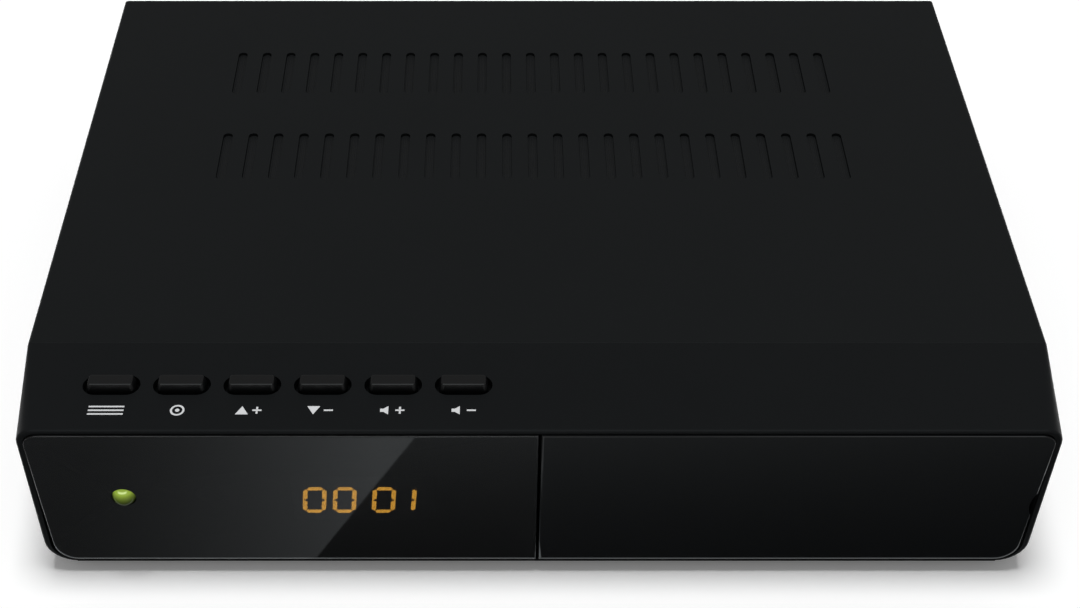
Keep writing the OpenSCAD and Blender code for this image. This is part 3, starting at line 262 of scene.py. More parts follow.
def startMaterial(name, sockets):
    material = bpy.data.materials.new(name)
    material.use_nodes = True
    tree = material.node_tree
    shader = tree.nodes["Principled BSDF"]
    for label, value in sockets.items():
        shader.inputs[label].default_value = value
    return material, tree, shader.inputs


def addBump(tree, shaderIn, height, depth, strength=1.0):
    bump = addNode(tree, "ShaderNodeBump", {"Height": height, "Distance": depth, "Strength": strength})
    link(tree, bump.outputs[0], shaderIn["Normal"])


def opaque(colour):
    return (*colour, 1.0)


def brokenTone(tree, colour, look):
    return useGroup(tree, toneBreakup, Colour=colour, Amount=look["tone"], Scale=look["toneScale"])["Colour"]


def setRough(tree, shaderIn, look):
    inputs = {"Roughness": look["rough"], "Amount": look["roughSwing"], "Scale": look["markScale"]}
    link(tree, useGroup(tree, roughBreakup, **inputs)["Roughness"], shaderIn["Roughness"])


def setFace(tree, shaderIn, look, colour=None):
    # base colour and roughness that wander
    colour = opaque(look["colour"]) if colour is None else colour
    link(tree, brokenTone(tree, colour, look), shaderIn["Base Color"])
    setRough(tree, shaderIn, look)


usualMoulded = {"tone": 0.08, "toneScale": 60.0, "roughSwing": 0.06, "markScale": 40.0, "swell": 0.35,
                "sockets": {}}
usualMetal = {"tone": 0.06, "toneScale": 90.0, "depth": 4e-6}


def mouldedFinish(name, look):
    # plastic, paint, rubber: colour and roughness that wander, and a raised grain
    look = {**usualMoulded, **look}
    material, tree, shaderIn = startMaterial(name, look["sockets"])
    setFace(tree, shaderIn, look)
    grain = useGroup(tree, faceGrain, Scale=look["grain"], Swell=look["swell"])
    addBump(tree, shaderIn, grain["Height"], look["depth"])
    return material


def metalFinish(name, look):
    # plated or drawn metal: zinc crystals or lines, with dull patches
    look = {**usualMetal, **look}
    material, tree, shaderIn = startMaterial(name, {"Metallic": 1.0})
    colour = brokenTone(tree, opaque(look["colour"]), look)
    if "spangle" in look:
        pattern = useGroup(tree, zincSpangle, Scale=look["spangle"])
        colour = mixColours(tree, pattern["Mask"], colour, opaque(look["dull"]), "MULTIPLY")
        swing, strength = 0.16, 0.5
    else:
        pattern = useGroup(tree, drawnLines, Stretch=look["stretch"])
        swing, strength = 0.18, 0.6
    link(tree, colour, shaderIn["Base Color"])
    link(tree, mathNode(tree, "MULTIPLY_ADD", pattern["Mask"], swing, look["rough"]), shaderIn["Roughness"])
    addBump(tree, shaderIn, pattern["Height"], look["depth"], strength)
    return material


def boardFinish(name, look):
    # green solder mask over tracks, with tinned pads
    material, tree, shaderIn = startMaterial(name, {})
    copper = useGroup(tree, boardTraces, Pitch=look["pitch"])
    mask = mixColours(tree, copper["Tracks"], opaque(look["colour"]), opaque(look["track"]))
    setFace(tree, shaderIn, look, mixColours(tree, copper["Pads"], mask, opaque(look["pad"])))
    link(tree, copper["Pads"], shaderIn["Metallic"])
    addBump(tree, shaderIn, mathNode(tree, "ADD", copper["Tracks"], copper["Pads"]), look["depth"])
    return material


def dress(material, *names):
    for name in names:
        piece = cadNodes[name]
        if not piece.material_slots:
            piece.data.materials.append(material)
        for materialSlot in piece.material_slots:
            materialSlot.material = material


# finishes of moulded, metal and board pieces; a look without a use is for pieces made further on

keyNames = ["menu", "ok", "channel_up", "channel_down", "volume_up", "volume_down"]

mouldedLooks = {
    "steelPaint": {"colour": (0.0056, 0.0064, 0.0068), "rough": 0.5, "roughSwing": 0.05, "grain": 2600.0,
                   "swell": 0.5, "depth": 9e-6, "toneScale": 25.0, "sockets": {"Specular IOR Level": 0.13}},
    "frontPlastic": {"colour": (0.0056, 0.0063, 0.0068), "rough": 0.44, "grain": 4200.0, "depth": 5e-6,
                     "sockets": {"Specular IOR Level": 0.09}},
    "keyPlastic": {"colour": (0.0012, 0.0014, 0.0016), "rough": 0.32, "grain": 5200.0, "depth": 3e-6,
                   "sockets": {"Specular IOR Level": 0.42}},
    "flapGloss": {"colour": (0.0022, 0.0025, 0.0028), "rough": 0.05, "roughSwing": 0.03, "grain": 900.0,
                  "depth": 0.6e-6, "sockets": {"Specular IOR Level": 0.4}},
    "footRubber": {"colour": (0.018, 0.018, 0.018), "rough": 0.82, "grain": 3200.0, "depth": 18e-6},
    "headerNylon": {"colour": (0.74, 0.71, 0.62), "rough": 0.45, "grain": 3000.0, "depth": 5e-6},
    "plungerNylon": {"colour": (0.62, 0.6, 0.54), "rough": 0.4, "grain": 3000.0, "depth": 4e-6},
    "switchPlastic": {"colour": (0.02, 0.02, 0.022), "rough": 0.5, "grain": 3000.0, "depth": 5e-6},
    "socketPlastic": {"colour": (0.012, 0.012, 0.013), "rough": 0.45, "grain": 3400.0, "depth": 6e-6},
    "jackPlastic": {"colour": (0.62, 0.17, 0.015), "rough": 0.38, "grain": 2600.0, "depth": 5e-6},
    "chipPlastic": {"colour": (0.014, 0.014, 0.015), "rough": 0.6, "grain": 6000.0, "depth": 8e-6},
    "ferrite": {"colour": (0.03, 0.03, 0.033), "rough": 0.65, "grain": 4200.0, "depth": 12e-6},
    "displayFace": {"colour": (0.002, 0.002, 0.0022), "rough": 0.5, "grain": 2000.0, "depth": 2e-6,
                    "sockets": {"Specular IOR Level": 0.1}},
    "sleeve": {"colour": (0.014, 0.016, 0.03), "rough": 0.28, "grain": 1500.0, "depth": 3e-6},
    "insulator": {"colour": (0.7, 0.69, 0.65), "rough": 0.5, "grain": 2600.0, "depth": 4e-6},
    "whiteInk": {"colour": (0.62, 0.63, 0.64), "rough": 0.55, "grain": 5200.0, "depth": 6e-6, "tone": 0.06,
                 "toneScale": 900.0},
}
mouldedUses = {
    "steelPaint": ["top_cover", "cover_screws"],
    "frontPlastic": ["front_bezel", "port_plate"],
    "keyPlastic": ["button_" + key for key in keyNames],
    "flapGloss": ["front_flap"],
    "footRubber": ["rubber_feet"],
    "headerNylon": ["front_header", "board_header"],
    "plungerNylon": ["plunger_" + key for key in keyNames],
    "switchPlastic": ["switch_bodies"],
    "socketPlastic": ["scart_socket", "power_inlet", "card_reader", "usb_tongue", "video_tongue"],
    "jackPlastic": ["audio_jack"],
    "chipPlastic": ["main_chip", "memory_chips", "flash_chip", "aerial_supply_chip", "regulators"],
    "ferrite": ["power_coils"],
    "displayFace": ["led_display"],
    "sleeve": ["capacitors"],
}
metalLooks = {
    "zincSheet": {"colour": (0.5, 0.51, 0.53), "rough": 0.34, "spangle": 330.0, "dull": (0.82, 0.83, 0.85),
                  "depth": 6e-6},
    "nickel": {"colour": (0.62, 0.6, 0.56), "rough": 0.16, "stretch": (2600.0, 60.0, 2600.0), "depth": 2e-6},
    "tinPlate": {"colour": (0.58, 0.59, 0.6), "rough": 0.26, "stretch": (60.0, 2600.0, 2600.0)},
    "screwSteel": {"colour": (0.5, 0.5, 0.5), "rough": 0.3, "stretch": (900.0, 900.0, 200.0)},
    "goldPlate": {"colour": (0.72, 0.5, 0.16), "rough": 0.2, "stretch": (2600.0, 60.0, 2600.0),
                  "depth": 1.5e-6},
    "castAlloy": {"colour": (0.56, 0.57, 0.58), "rough": 0.36, "stretch": (2200.0, 50.0, 2200.0),
                  "depth": 6e-6},
}
metalUses = {
    "zincSheet": ["chassis_tray"],
    "nickel": ["aerial_input", "aerial_output", "power_pin", "usb_port", "video_port"],
    "tinPlate": ["tuner_can", "tuner_lid", "crystal"],
    "screwSteel": ["board_screws", "bezel_screws", "front_board_screws"],
    "castAlloy": ["heat_sink"],
}
boardLook = {"colour": (0.014, 0.09, 0.03), "track": (0.03, 0.16, 0.05), "pad": (0.55, 0.56, 0.55),
             "pitch": 420.0, "tone": 0.08, "toneScale": 120.0, "rough": 0.32, "roughSwing": 0.08,
             "markScale": 80.0, "depth": 30e-6}

finishes = {}
for name, look in mouldedLooks.items():
    finishes[name] = mouldedFinish(name, look)
    dress(finishes[name], *mouldedUses.get(name, ()))
for name, look in metalLooks.items():
    finishes[name] = metalFinish(name, look)
    dress(finishes[name], *metalUses.get(name, ()))
finishes["solderMask"] = boardFinish("solderMask", boardLook)
dress(finishes["solderMask"], "main_board", "front_board")
print("finishes made:", len(finishes))


# finishes that belong to one piece each

def windowFinish(name):
    look = {"colour": (0.011, 0.0113, 0.0116), "tone": 0.05, "toneScale": 260.0, "rough": 0.03,
            "roughSwing": 0.02, "markScale": 60.0}
    material, tree, shaderIn = startMaterial(name, {"Transmission Weight": 0.8, "IOR": 1.49})
    setFace(tree, shaderIn, look)
    return material


def litFinish(name):
    look = {"colour": (1.0, 0.48, 0.055), "tone": 0.3, "toneScale": 900.0}
    sockets = {"Emission Strength": 68.0, "Base Color": (0.4, 0.16, 0.02, 1), "Roughness": 0.4}
    material, tree, shaderIn = startMaterial(name, sockets)
    link(tree, brokenTone(tree, opaque(look["colour"]), look), shaderIn["Emission Color"])
    return material


def lampFinish(name):
    # lens whose glow is its own lamp light, with the glow and the base colour painted brightest at its top
    # and falling off quickly below, as painted light from above
    look = {"base": (0.01, 0.015, 0.0015), "glow": (0.034, 0.048, 0.0062), "rise": 1200.0, "paintedTopMost": 7.0,
            "core": (0.6, 0.74, 0.3), "coreBand": (0.00175, 0.00215), "coreHalf": 0.0011,
            "bandSoft": 0.00015, "sideSoft": 0.0004, "tone": 0.06, "toneScale": 700.0, "rough": 0.1,
            "roughSwing": 0.03, "markScale": 300.0}
    sockets = {"Emission Strength": 1.0, "IOR": 1.52, "Specular IOR Level": 0.12}
    material, tree, shaderIn = startMaterial(name, sockets)
    low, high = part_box("status_lamp")
    parts = pointParts(tree)
    above = mathNode(tree, "SUBTRACT", parts[2], (low.z + high.z) / 2)
    # painted light: the lens colour grows stronger towards its top and weaker below
    paintedTopLight = mathNode(tree, "EXPONENT", mathNode(tree, "MULTIPLY", above, look["rise"]))
    level = mathNode(tree, "MINIMUM", paintedTopLight, look["paintedTopMost"])
    base = scaleColour(tree, brokenTone(tree, opaque(look["base"]), look), level)
    glow = scaleColour(tree, brokenTone(tree, opaque(look["glow"]), look), level)
    link(tree, base, shaderIn["Base Color"])
    # painted highlight: a pale glint painted into the glow in a small band near the top of the lens
    foot, head = look["coreBand"]
    across = mathNode(tree, "ABSOLUTE", mathNode(tree, "SUBTRACT", parts[0], (low.x + high.x) / 2))
    rising = ramp(tree, above, foot, look["bandSoft"])
    falling = ramp(tree, above, head, -look["bandSoft"])
    inside = ramp(tree, across, look["coreHalf"], -look["sideSoft"])
    core = mathNode(tree, "MULTIPLY", inside, mathNode(tree, "MULTIPLY", rising, falling))
    link(tree, mixColours(tree, core, glow, opaque(look["core"])), shaderIn["Emission Color"])
    setRough(tree, shaderIn, look)
    return material


def receiverFinish(name):
    look = {"colour": (0.012, 0.006, 0.02), "tone": 0.1, "toneScale": 400.0, "rough": 0.15,
            "roughSwing": 0.05, "markScale": 200.0}
    material, tree, shaderIn = startMaterial(name, {"IOR": 1.54, "Coat Weight": 0.5})
    setFace(tree, shaderIn, look)
    return material


def ribbonFinish(name):
    # grey flat cable with a furrow between neighbouring wires, its colour painted darker in each furrow as
    # shade
    look = {"pitch": 0.00127, "colour": (0.4, 0.42, 0.45), "groove": (0.16, 0.17, 0.19), "sharp": 4.0,
            "depth": 120e-6, "tone": 0.05, "toneScale": 200.0, "rough": 0.45, "roughSwing": 0.06,
            "markScale": 90.0}
    material, tree, shaderIn = startMaterial(name, {})
    ripple = wave(tree, pointParts(tree)[0], look["pitch"])
    # painted shade: the colour darkens towards the middle of each furrow
    groove = mathNode(tree, "POWER", ripple, look["sharp"])
    setFace(tree, shaderIn, look, mixColours(tree, groove, opaque(look["colour"]), opaque(look["groove"])))
    addBump(tree, shaderIn, mathNode(tree, "SUBTRACT", 1.0, ripple), look["depth"])
    return material


def meshFinish(name):
    # black nylon mesh: two sets of threads, with the holes between them painted dark in the colour as shade
    look = {"colour": (0.0076, 0.0084, 0.0089), "pitch": 0.00045, "hole": 0.25, "depth": 60e-6, "tone": 0.12,
            "toneScale": 300.0}
    material, tree, shaderIn = startMaterial(name, {"Roughness": 0.6, "Specular IOR Level": 0.2})
    parts = pointParts(tree)
    threads = mathNode(tree, "MAXIMUM", *[wave(tree, parts[axis], look["pitch"]) for axis in (0, 1)])
    # painted shade: the colour falls to a quarter between the threads
    shade = mathNode(tree, "MULTIPLY_ADD", threads, 1.0 - look["hole"], look["hole"])
    tone = brokenTone(tree, opaque(look["colour"]), look)
    link(tree, scaleColour(tree, tone, shade), shaderIn["Base Color"])
    addBump(tree, shaderIn, threads, look["depth"])
    return material


specialFinishes = {
    "smokedWindow": (windowFinish, "display_window"),
    "dustMesh": (meshFinish, "dust_screen"),
    "litSegments": (litFinish, "display_segments"),
    "lampLens": (lampFinish, "status_lamp"),
    "receiverLens": (receiverFinish, "infrared_receiver"),
    "ribbonGrey": (ribbonFinish, "ribbon_cable"),
}
for name, (make, node) in specialFinishes.items():
    finishes[name] = make(name)
    dress(finishes[name], node)
print("window, digits and lamp finished")


# pieces made anew

def newObject(name, mesh, material):
    data = bpy.data.meshes.new(name)
    mesh.to_mesh(data)
    mesh.free()
    data.materials.append(material)
    made = bpy.data.objects.new(name, data)
    bpy.context.scene.collection.objects.link(made)
    return made


def finishPiece(name, mesh, material, body):
    # closes a bmesh into an object that rides on a body
    bmesh.ops.recalc_face_normals(mesh, faces=mesh.faces)
    piece = newObject(name, mesh, material)
    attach(piece, body)
    return piece


def softEdges(piece, angle=35.0):
    piece.data.polygons.foreach_set("use_smooth", [True] * len(piece.data.polygons))
    piece.data.set_sharp_from_angle(angle=math.radians(angle))


def pushOut(mesh, faces, step):
    # gives flat faces a thickness
    grown = bmesh.ops.extrude_face_region(mesh, geom=faces)["geom"]
    moved = [part for part in grown if isinstance(part, bmesh.types.BMVert)]
    bmesh.ops.translate(mesh, verts=moved, vec=step)


def addPrism(mesh, corners, step):
    # flat outline in metres, pushed out along a step
    pushOut(mesh, [mesh.faces.new([mesh.verts.new(corner) for corner in corners])], step)


def roundEdges(mesh, edges, width, segments):
    bmesh.ops.bevel(mesh, geom=edges, offset=width * mm, offset_type="OFFSET", segments=segments, profile=0.5,
                    affect="EDGES", material=-1, clamp_overlap=True)


copying = {"weld": 2e-6, "flat": math.radians(0.4), "sharp": math.radians(40), "smooth": 32.0, "weight": 80}


def easeEdges(mesh, width, segments, wanted):
    # rounds the sharp edges whose two ends both lie where wanted() says
    edges = []
    for edge in mesh.edges:
        if len(edge.link_faces) == 2 and edge.calc_face_angle(0.0) > copying["sharp"]:
            if all(wanted(vert.co / mm) for vert in edge.verts):
                edges.append(edge)
    roundEdges(mesh, edges, width, segments)


def weldedCopy(node):
    # a node's own mesh with its seams merged
    mesh = bmesh.new()
    mesh.from_mesh(cadNodes[node].data)
    bmesh.ops.remove_doubles(mesh, verts=mesh.verts, dist=copying["weld"])
    return mesh


def copyOfNode(node, name, material, eases=()):
    # the node's own shape with some edges rounded and its curves smooth
    mesh = weldedCopy(node)
    bmesh.ops.dissolve_limit(mesh, angle_limit=copying["flat"], verts=mesh.verts, edges=mesh.edges)
    for width, segments, wanted in eases:
        easeEdges(mesh, width, segments, wanted)
    piece = finishPiece(name, mesh, material, cadNodes[node]["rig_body"])
    softEdges(piece, copying["smooth"])
    weights = piece.modifiers.new("weights", "WEIGHTED_NORMAL")
    weights.keep_sharp = True
    weights.weight = copying["weight"]
    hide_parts(node)


def easePlans():
    # places in mm of the edges that a press or a mould leaves round
    coverLow, coverHigh = [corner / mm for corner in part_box("top_cover")]
    top, side, front, rear = coverHigh.z, coverHigh.x, coverLow.y, coverHigh.y
    keyLow, keyHigh = [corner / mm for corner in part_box("button_menu")]
    near, skin, inset = 0.05, 0.6, 1.0
    outerSkin = lambda p: p.z > top - skin or abs(p.x) > side - skin
    slots = lambda p: p.z > top - near and front + inset < p.y < rear - inset and abs(p.x) < side - 2 * inset
    return {
        "top_cover": [
            (0.25, 3, lambda p: p.y < front + near and outerSkin(p)),
            (0.28, 3, slots),
            (0.2, 2, lambda p: p.y > rear - near and outerSkin(p)),
        ],
        "front_bezel": [
            (0.2, 2, lambda p: abs(p.y - front) < near and outerSkin(p)),
            (0.15, 2, lambda p: p.z > top - near and keyLow.y - inset < p.y < keyHigh.y + inset),
        ],
    }


copyNames = {"front_bezel": ("frontMoulding", "frontPlastic"), "front_flap": ("frontFlap", "flapGloss"),
             "display_window": ("displayWindow", "smokedWindow"), "top_cover": ("steelCover", "steelPaint")}
for key in keyNames:
    copyNames["button_" + key] = (key + "Key", "keyPlastic")
plans = easePlans()
for node, (name, finish) in copyNames.items():
    copyOfNode(node, name, finishes[finish], plans.get(node, ()))
print("copied pieces:", len(copyNames))


# printed signs below the keys, in mm

signs = {"y": -76.9, "thick": 0.02, "bar": 0.42, "menuWide": 7.4, "menuStep": 1.05, "ring": (1.5, 1.08),
         "dot": (0.45, 0.02), "arrow": 1.4, "arrowSide": 2.7, "speaker": 1.0, "mark": 1.7, "markWide": 1.9,
         "armStep": 0.62, "arm": 0.7}


def bar(x, y, width, height):
    w, h = width / 2, height / 2
    return [(x - w, y - h), (x + w, y - h), (x + w, y + h), (x - w, y + h)]


def triangle(x, y, side, up):
    w, h = side / 2, side * 0.43 * up
    return [(x - w, y - h), (x + w, y - h), (x, y + h)]


def speaker(x, y):
    upper = [(0.3, 1.2), (-0.7, 0.45), (-1.4, 0.45)]
    return [(x + dx, y - dy) for dx, dy in reversed(upper)] + [(x + dx, y + dy) for dx, dy in upper]


def ring(mesh, x, y, radii, low, thick):
    made = []
    for radius in radii:
        made += bmesh.ops.create_circle(mesh, cap_ends=False, radius=radius * mm, segments=40)["verts"]
    bmesh.ops.translate(mesh, verts=made, vec=(x * mm, y * mm, low))
    edges = list({edge for vert in made for edge in vert.link_edges})
    pushOut(mesh, bmesh.ops.bridge_loops(mesh, edges=edges)["faces"], (0, 0, thick))


def markBars(x, y, plus):
    # a minus, or a plus without overlap in its middle
    bars = [bar(x, y, signs["markWide"], signs["bar"])]
    if plus:
        bars += [bar(x, y + turn * signs["armStep"], signs["bar"], signs["arm"]) for turn in (1, -1)]
    return bars


def makeSigns():
    low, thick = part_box("top_cover")[1].z, signs["thick"] * mm
    y = signs["y"]
    for key in keyNames:
        nodeLow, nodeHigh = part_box("button_" + key)
        x = (nodeLow.x + nodeHigh.x) / 2 / mm
        mesh = bmesh.new()
        plates = []
        if key == "menu":
            rows = [y + row * signs["menuStep"] for row in (-1, 0, 1)]
            plates = [bar(x, row, signs["menuWide"], signs["bar"]) for row in rows]
        elif key == "ok":
            ring(mesh, x, y, signs["ring"], low, thick)
            ring(mesh, x, y, signs["dot"], low, thick)
        else:
            up = key.endswith("up")
            if key.startswith("channel"):
                plates = [triangle(x - signs["arrow"], y, signs["arrowSide"], 1 if up else -1)]
            else:
                plates = [speaker(x - signs["speaker"], y)]
            plates += markBars(x + signs["mark"], y, up)
        for outline in plates:
            addPrism(mesh, [(px * mm, py * mm, low) for px, py in outline], (0, 0, thick))
        finishPiece(key + "Sign", mesh, finishes["whiteInk"], "case")


makeSigns()
print("signs printed")


# lit bars of the display in mm, in the place where the photo shows them

digits = {"wide": 5.0, "high": 8.3, "bar": 0.95, "gap": 0.16, "corner": 1.25, "slant": math.radians(5),
          "pair": 6.4, "middle": 4.19, "move": (0.13, -0.68)}


def barOutlines(lone):
    # outlines of the six lit bars of a nought, or of the two of a one in the middle
    w, h, t, g, c = [digits[part] for part in ("wide", "high", "bar", "gap", "corner")]
    w, h, cut = w / 2, h / 2, c / 2
    top = [(c - w, h), (w - c, h), (w - cut - g, h - cut), (w - t - g, h - t), (t + g - w, h - t),
           (cut + g - w, h - cut)]
    side = [(w, h - c), (w - cut, h - cut - g), (w - t, h - t - g), (w - t, t / 2 + g / 2),
            (w - t / 5, g / 2), (w, g / 2)]
    if lone:
        upper = [(x - w + t / 2, z) for x, z in side]
        return [upper, [(x, -z) for x, z in upper]]
    sides = [[(turn * x, flip * z) for x, z in side] for turn in (-1, 1) for flip in (-1, 1)]
    return [top, [(x, -z) for x, z in top]] + sides


def makeDigits():
    low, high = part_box("display_segments")
    displayLow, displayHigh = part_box("led_display")
    shiftX, shiftZ = digits["move"]
    centreX = (displayLow.x + displayHigh.x) / 2 / mm + shiftX
    centreZ = (low.z + high.z) / 2 / mm + shiftZ
    lean = math.tan(digits["slant"])
    inner, outer = digits["middle"], digits["middle"] + digits["pair"]
    mesh = bmesh.new()
    for place in (-outer, -inner, inner, outer):
        for outline in barOutlines(place == outer):
            middle = centreX + place
            corners = [((middle + x + z * lean) * mm, high.y, (centreZ + z) * mm) for x, z in outline]
            addPrism(mesh, corners, (0, low.y - high.y, 0))
    piece = finishPiece("litDigits", mesh, finishes["litSegments"], "case")
    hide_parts("display_segments")


makeDigits()
print("digits lit")


# contacts, threads and other small parts on the sockets and the boards, their looks in mm

def addBlock(mesh, low, high, ease=0.0):
    # block between two corners in metres, with its edges taken off
    made = bmesh.ops.create_cube(mesh, size=1.0)["verts"]
    low, high = Vector(low), Vector(high)
    bmesh.ops.scale(mesh, verts=made, vec=high - low)
    bmesh.ops.translate(mesh, verts=made, vec=(low + high) / 2)
    if ease:
        roundEdges(mesh, list({edge for vert in made for edge in vert.link_edges}), ease, 1)


def spinOutline(mesh, outline, centre, turns, steps, climb=0.0, merge=True):
    # winds a closed outline of (radius, y) pairs round the Y axis through a centre
    verts = [mesh.verts.new(Vector(centre) + Vector((radius * mm, y * mm, 0))) for radius, y in outline]
    edges = [mesh.edges.new((verts[i], verts[(i + 1) % len(verts)])) for i in range(len(verts))]
    bmesh.ops.spin(mesh, geom=verts + edges, cent=centre, axis=(0, 1, 0), dvec=(0, climb, 0),
                   angle=2 * math.pi * turns, steps=steps, use_merge=merge, use_duplicate=False)


def islands(node):
    # lowest and highest corners of each separate solid in a node
    mesh = weldedCopy(node)
    left = set(mesh.verts)
    found = []
    while left:
        heap = [left.pop()]
        corners = []
        while heap:
            vert = heap.pop()
            corners.append(vert.co.copy())
            for edge in vert.link_edges:
                other = edge.other_vert(vert)
                if other in left:
                    left.remove(other)
                    heap.append(other)
        found.append([Vector([pick(c[axis] for c in corners) for axis in range(3)]) for pick in (min, max)])
    mesh.free()
    return sorted(found, key=lambda pair: tuple(round(value, 5) for value in pair[0]))


def makeThread(node, name):
    # ridge that winds along the barrel of an aerial connector
    look = {"pitch": 0.794, "root": 4.7, "crest": 4.93, "flank": 0.4, "bare": 2.6, "end": 0.5, "perTurn": 28}
    low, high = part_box(node)
    pitch, half = look["pitch"], look["pitch"] * look["flank"]
    centre = ((low.x + high.x) / 2, low.y + look["bare"] * mm, (low.z + high.z) / 2)
    turns = int((high.y - look["end"] * mm - centre[1]) / (pitch * mm))
    profile = [(look["root"], -half), (look["crest"], 0.0), (look["root"], half)]
    mesh = bmesh.new()
    spinOutline(mesh, profile, centre, turns, turns * look["perTurn"], pitch * mm / look["perTurn"], False)
    bmesh.ops.remove_doubles(mesh, verts=mesh.verts, dist=1e-7)
    bmesh.ops.holes_fill(mesh, edges=[edge for edge in mesh.edges if edge.is_boundary], sides=3)
    softEdges(finishPiece(name, mesh, finishes["nickel"], "case"))


def makeInsert(node, name):
    # insulating disc in the mouth of an aerial connector
    outline = [(0.7, -0.6), (0.7, -0.42), (0.95, -0.3), (3.3, -0.3), (3.62, -0.4), (3.62, -0.6)]
    low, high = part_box(node)
    mesh = bmesh.new()
    spinOutline(mesh, outline, ((low.x + high.x) / 2, high.y, (low.z + high.z) / 2), 1, 40)
    softEdges(finishPiece(name, mesh, finishes["insulator"], "case"))


def makeCollar():
    # plated shell round the audio jack
    look = {"outer": 4.19, "inner": 3.66, "back": -7.5, "end": 0.06, "axis": 7.0, "step": -1.2}
    low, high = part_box("audio_jack")
    outer, inner, back, end, step = [look[part] for part in ("outer", "inner", "back", "end", "step")]
    outline = [(outer, back), (outer, end - 0.25), (outer - 0.2, end), (inner, end),
               (inner - 0.45, end - 0.3), (inner - 0.5, step), (inner - 0.2, step), (inner - 0.2, back)]
    mesh = bmesh.new()
    spinOutline(mesh, outline, ((low.x + high.x) / 2, high.y, low.z + look["axis"] * mm), 1, 56)
    softEdges(finishPiece("jackShell", mesh, finishes["nickel"], "case"))


def makeScartContacts():
    # one springy blade in every slot of the socket
    look = {"count": 10, "pitch": 3.8, "rise": 2.0, "blade": (0.34, 5.0, 2.1), "back": 0.7, "axis": 7.7,
            "ease": 0.08}
    low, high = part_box("scart_socket")
    half = Vector(look["blade"]) * mm / 2
    mesh = bmesh.new()
    for i in range(look["count"]):
        for side in (-1, 1):
            across = (i - (look["count"] - 1) / 2 + side / 4) * look["pitch"] * mm
            centre = Vector(((low.x + high.x) / 2 + across, high.y - look["back"] * mm - half.y,
                             high.z + (side * look["rise"] - look["axis"]) * mm))
            addBlock(mesh, centre - half, centre + half, look["ease"])
    finishPiece("scartContacts", mesh, finishes["goldPlate"], "case")


stripPlans = {
    "video_tongue": ("videoContacts", {"count": 10, "pitch": 0.95, "wide": 0.5, "near": 1.0, "far": 0.4,
                                       "faces": ("top", "under")}),
    "usb_tongue": ("usbContacts", {"count": 4, "pitch": 2.4, "wide": 1.1, "near": 0.6, "far": 1.0,
                                   "faces": ("under",)}),
}


def makeStrips(node, name, look):
    # flat contacts along the top, the underside or both of a socket's tongue
    low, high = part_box(node)
    proud, ease = 0.03 * mm, 0.015
    mesh = bmesh.new()
    for i in range(look["count"]):
        x = (low.x + high.x) / 2 + (i - (look["count"] - 1) / 2) * look["pitch"] * mm
        for z in [high.z] * ("top" in look["faces"]) + [low.z] * ("under" in look["faces"]):
            addBlock(mesh, (x - look["wide"] * mm / 2, low.y + look["near"] * mm, z - proud),
                     (x + look["wide"] * mm / 2, high.y - look["far"] * mm, z + proud), ease)
    finishPiece(name, mesh, finishes["goldPlate"], "case")


legPlans = {
    "main_chip": ("mainChipLegs", "xy",
                  {"pitch": 0.8, "wide": 0.35, "reach": 1.3, "rise": 0.9, "thick": 0.14, "margin": 1.6}),
    "memory_chips": ("memoryLegs", "y",
                     {"pitch": 0.8, "wide": 0.35, "reach": 0.9, "rise": 0.55, "thick": 0.12, "margin": 0.5}),
    "flash_chip": ("flashLegs", "y",
                   {"pitch": 1.0, "wide": 0.4, "reach": 0.9, "rise": 0.55, "thick": 0.12, "margin": 0.6}),
    "aerial_supply_chip": ("supplyLegs", "y",
                           {"pitch": 1.27, "wide": 0.42, "reach": 0.9, "rise": 0.6, "thick": 0.16,
                            "margin": 0.6}),
}


def addLeg(mesh, base, out, along, look):
    # gull-wing leg: a bent strip pushed along its own width
    reach, rise, thick = look["reach"], look["rise"], look["thick"]
    profile = [(0, rise), (reach * 0.35, rise), (reach * 0.6, thick), (reach, thick), (reach, 0),
               (reach * 0.5, 0), (reach * 0.25, rise - thick), (0, rise - thick)]
    width = along * look["wide"] * mm
    corners = [base + out * r * mm - width / 2 + Vector((0, 0, h * mm)) for r, h in profile]
    addPrism(mesh, corners, width)


def makeLegs(node, name, axes, look):
    # axes says along which of them the rows of legs run
    buried, lift = 0.02 * mm, 0.01 * mm
    mesh = bmesh.new()
    for low, high in islands(node):
        for axis in ["xy".index(letter) for letter in axes]:
            other = 1 - axis
            room = (high[axis] - low[axis]) / mm - 2 * look["margin"]
            count = int(room / look["pitch"]) + 1
            along, across = Vector((1 - axis, axis, 0)), Vector((axis, 1 - axis, 0))
            middle = Vector(((low.x + high.x) / 2, (low.y + high.y) / 2, low.z + lift))
            for side in (-1, 1):
                edge = middle + across * side * ((high[other] - low[other]) / 2 - buried)
                for i in range(count):
                    base = edge + along * (i - (count - 1) / 2) * look["pitch"] * mm
                    addLeg(mesh, base, across * side, along, look)
    finishPiece(name, mesh, finishes["tinPlate"], "case")


def makeCanTops():
    # bare aluminium end of each capacitor, with the cross that lets it vent
    look = {"inset": 0.35, "slope": 0.12, "thick": 0.12, "lift": 0.05, "arm": 0.7, "half": 0.12,
            "cross": (0.08, 0.14)}
    mesh = bmesh.new()
    for low, high in islands("capacitors"):
        x, y = (low.x + high.x) / 2, (low.y + high.y) / 2
        radius = (high.x - low.x) / 2 - look["inset"] * mm
        made = bmesh.ops.create_cone(mesh, cap_ends=True, segments=32, radius1=radius,
                                     radius2=radius - look["slope"] * mm, depth=look["thick"] * mm)["verts"]
        bmesh.ops.translate(mesh, verts=made, vec=(x, y, high.z + look["lift"] * mm))
        foot, head = [high.z + height * mm for height in look["cross"]]
        sizes = (look["half"] * mm, radius * look["arm"])
        for w, l in (sizes, sizes[::-1]):
            addBlock(mesh, (x - w, y - l, foot), (x + w, y + l, head))
    finishPiece("canTops", mesh, finishes["castAlloy"], "case")


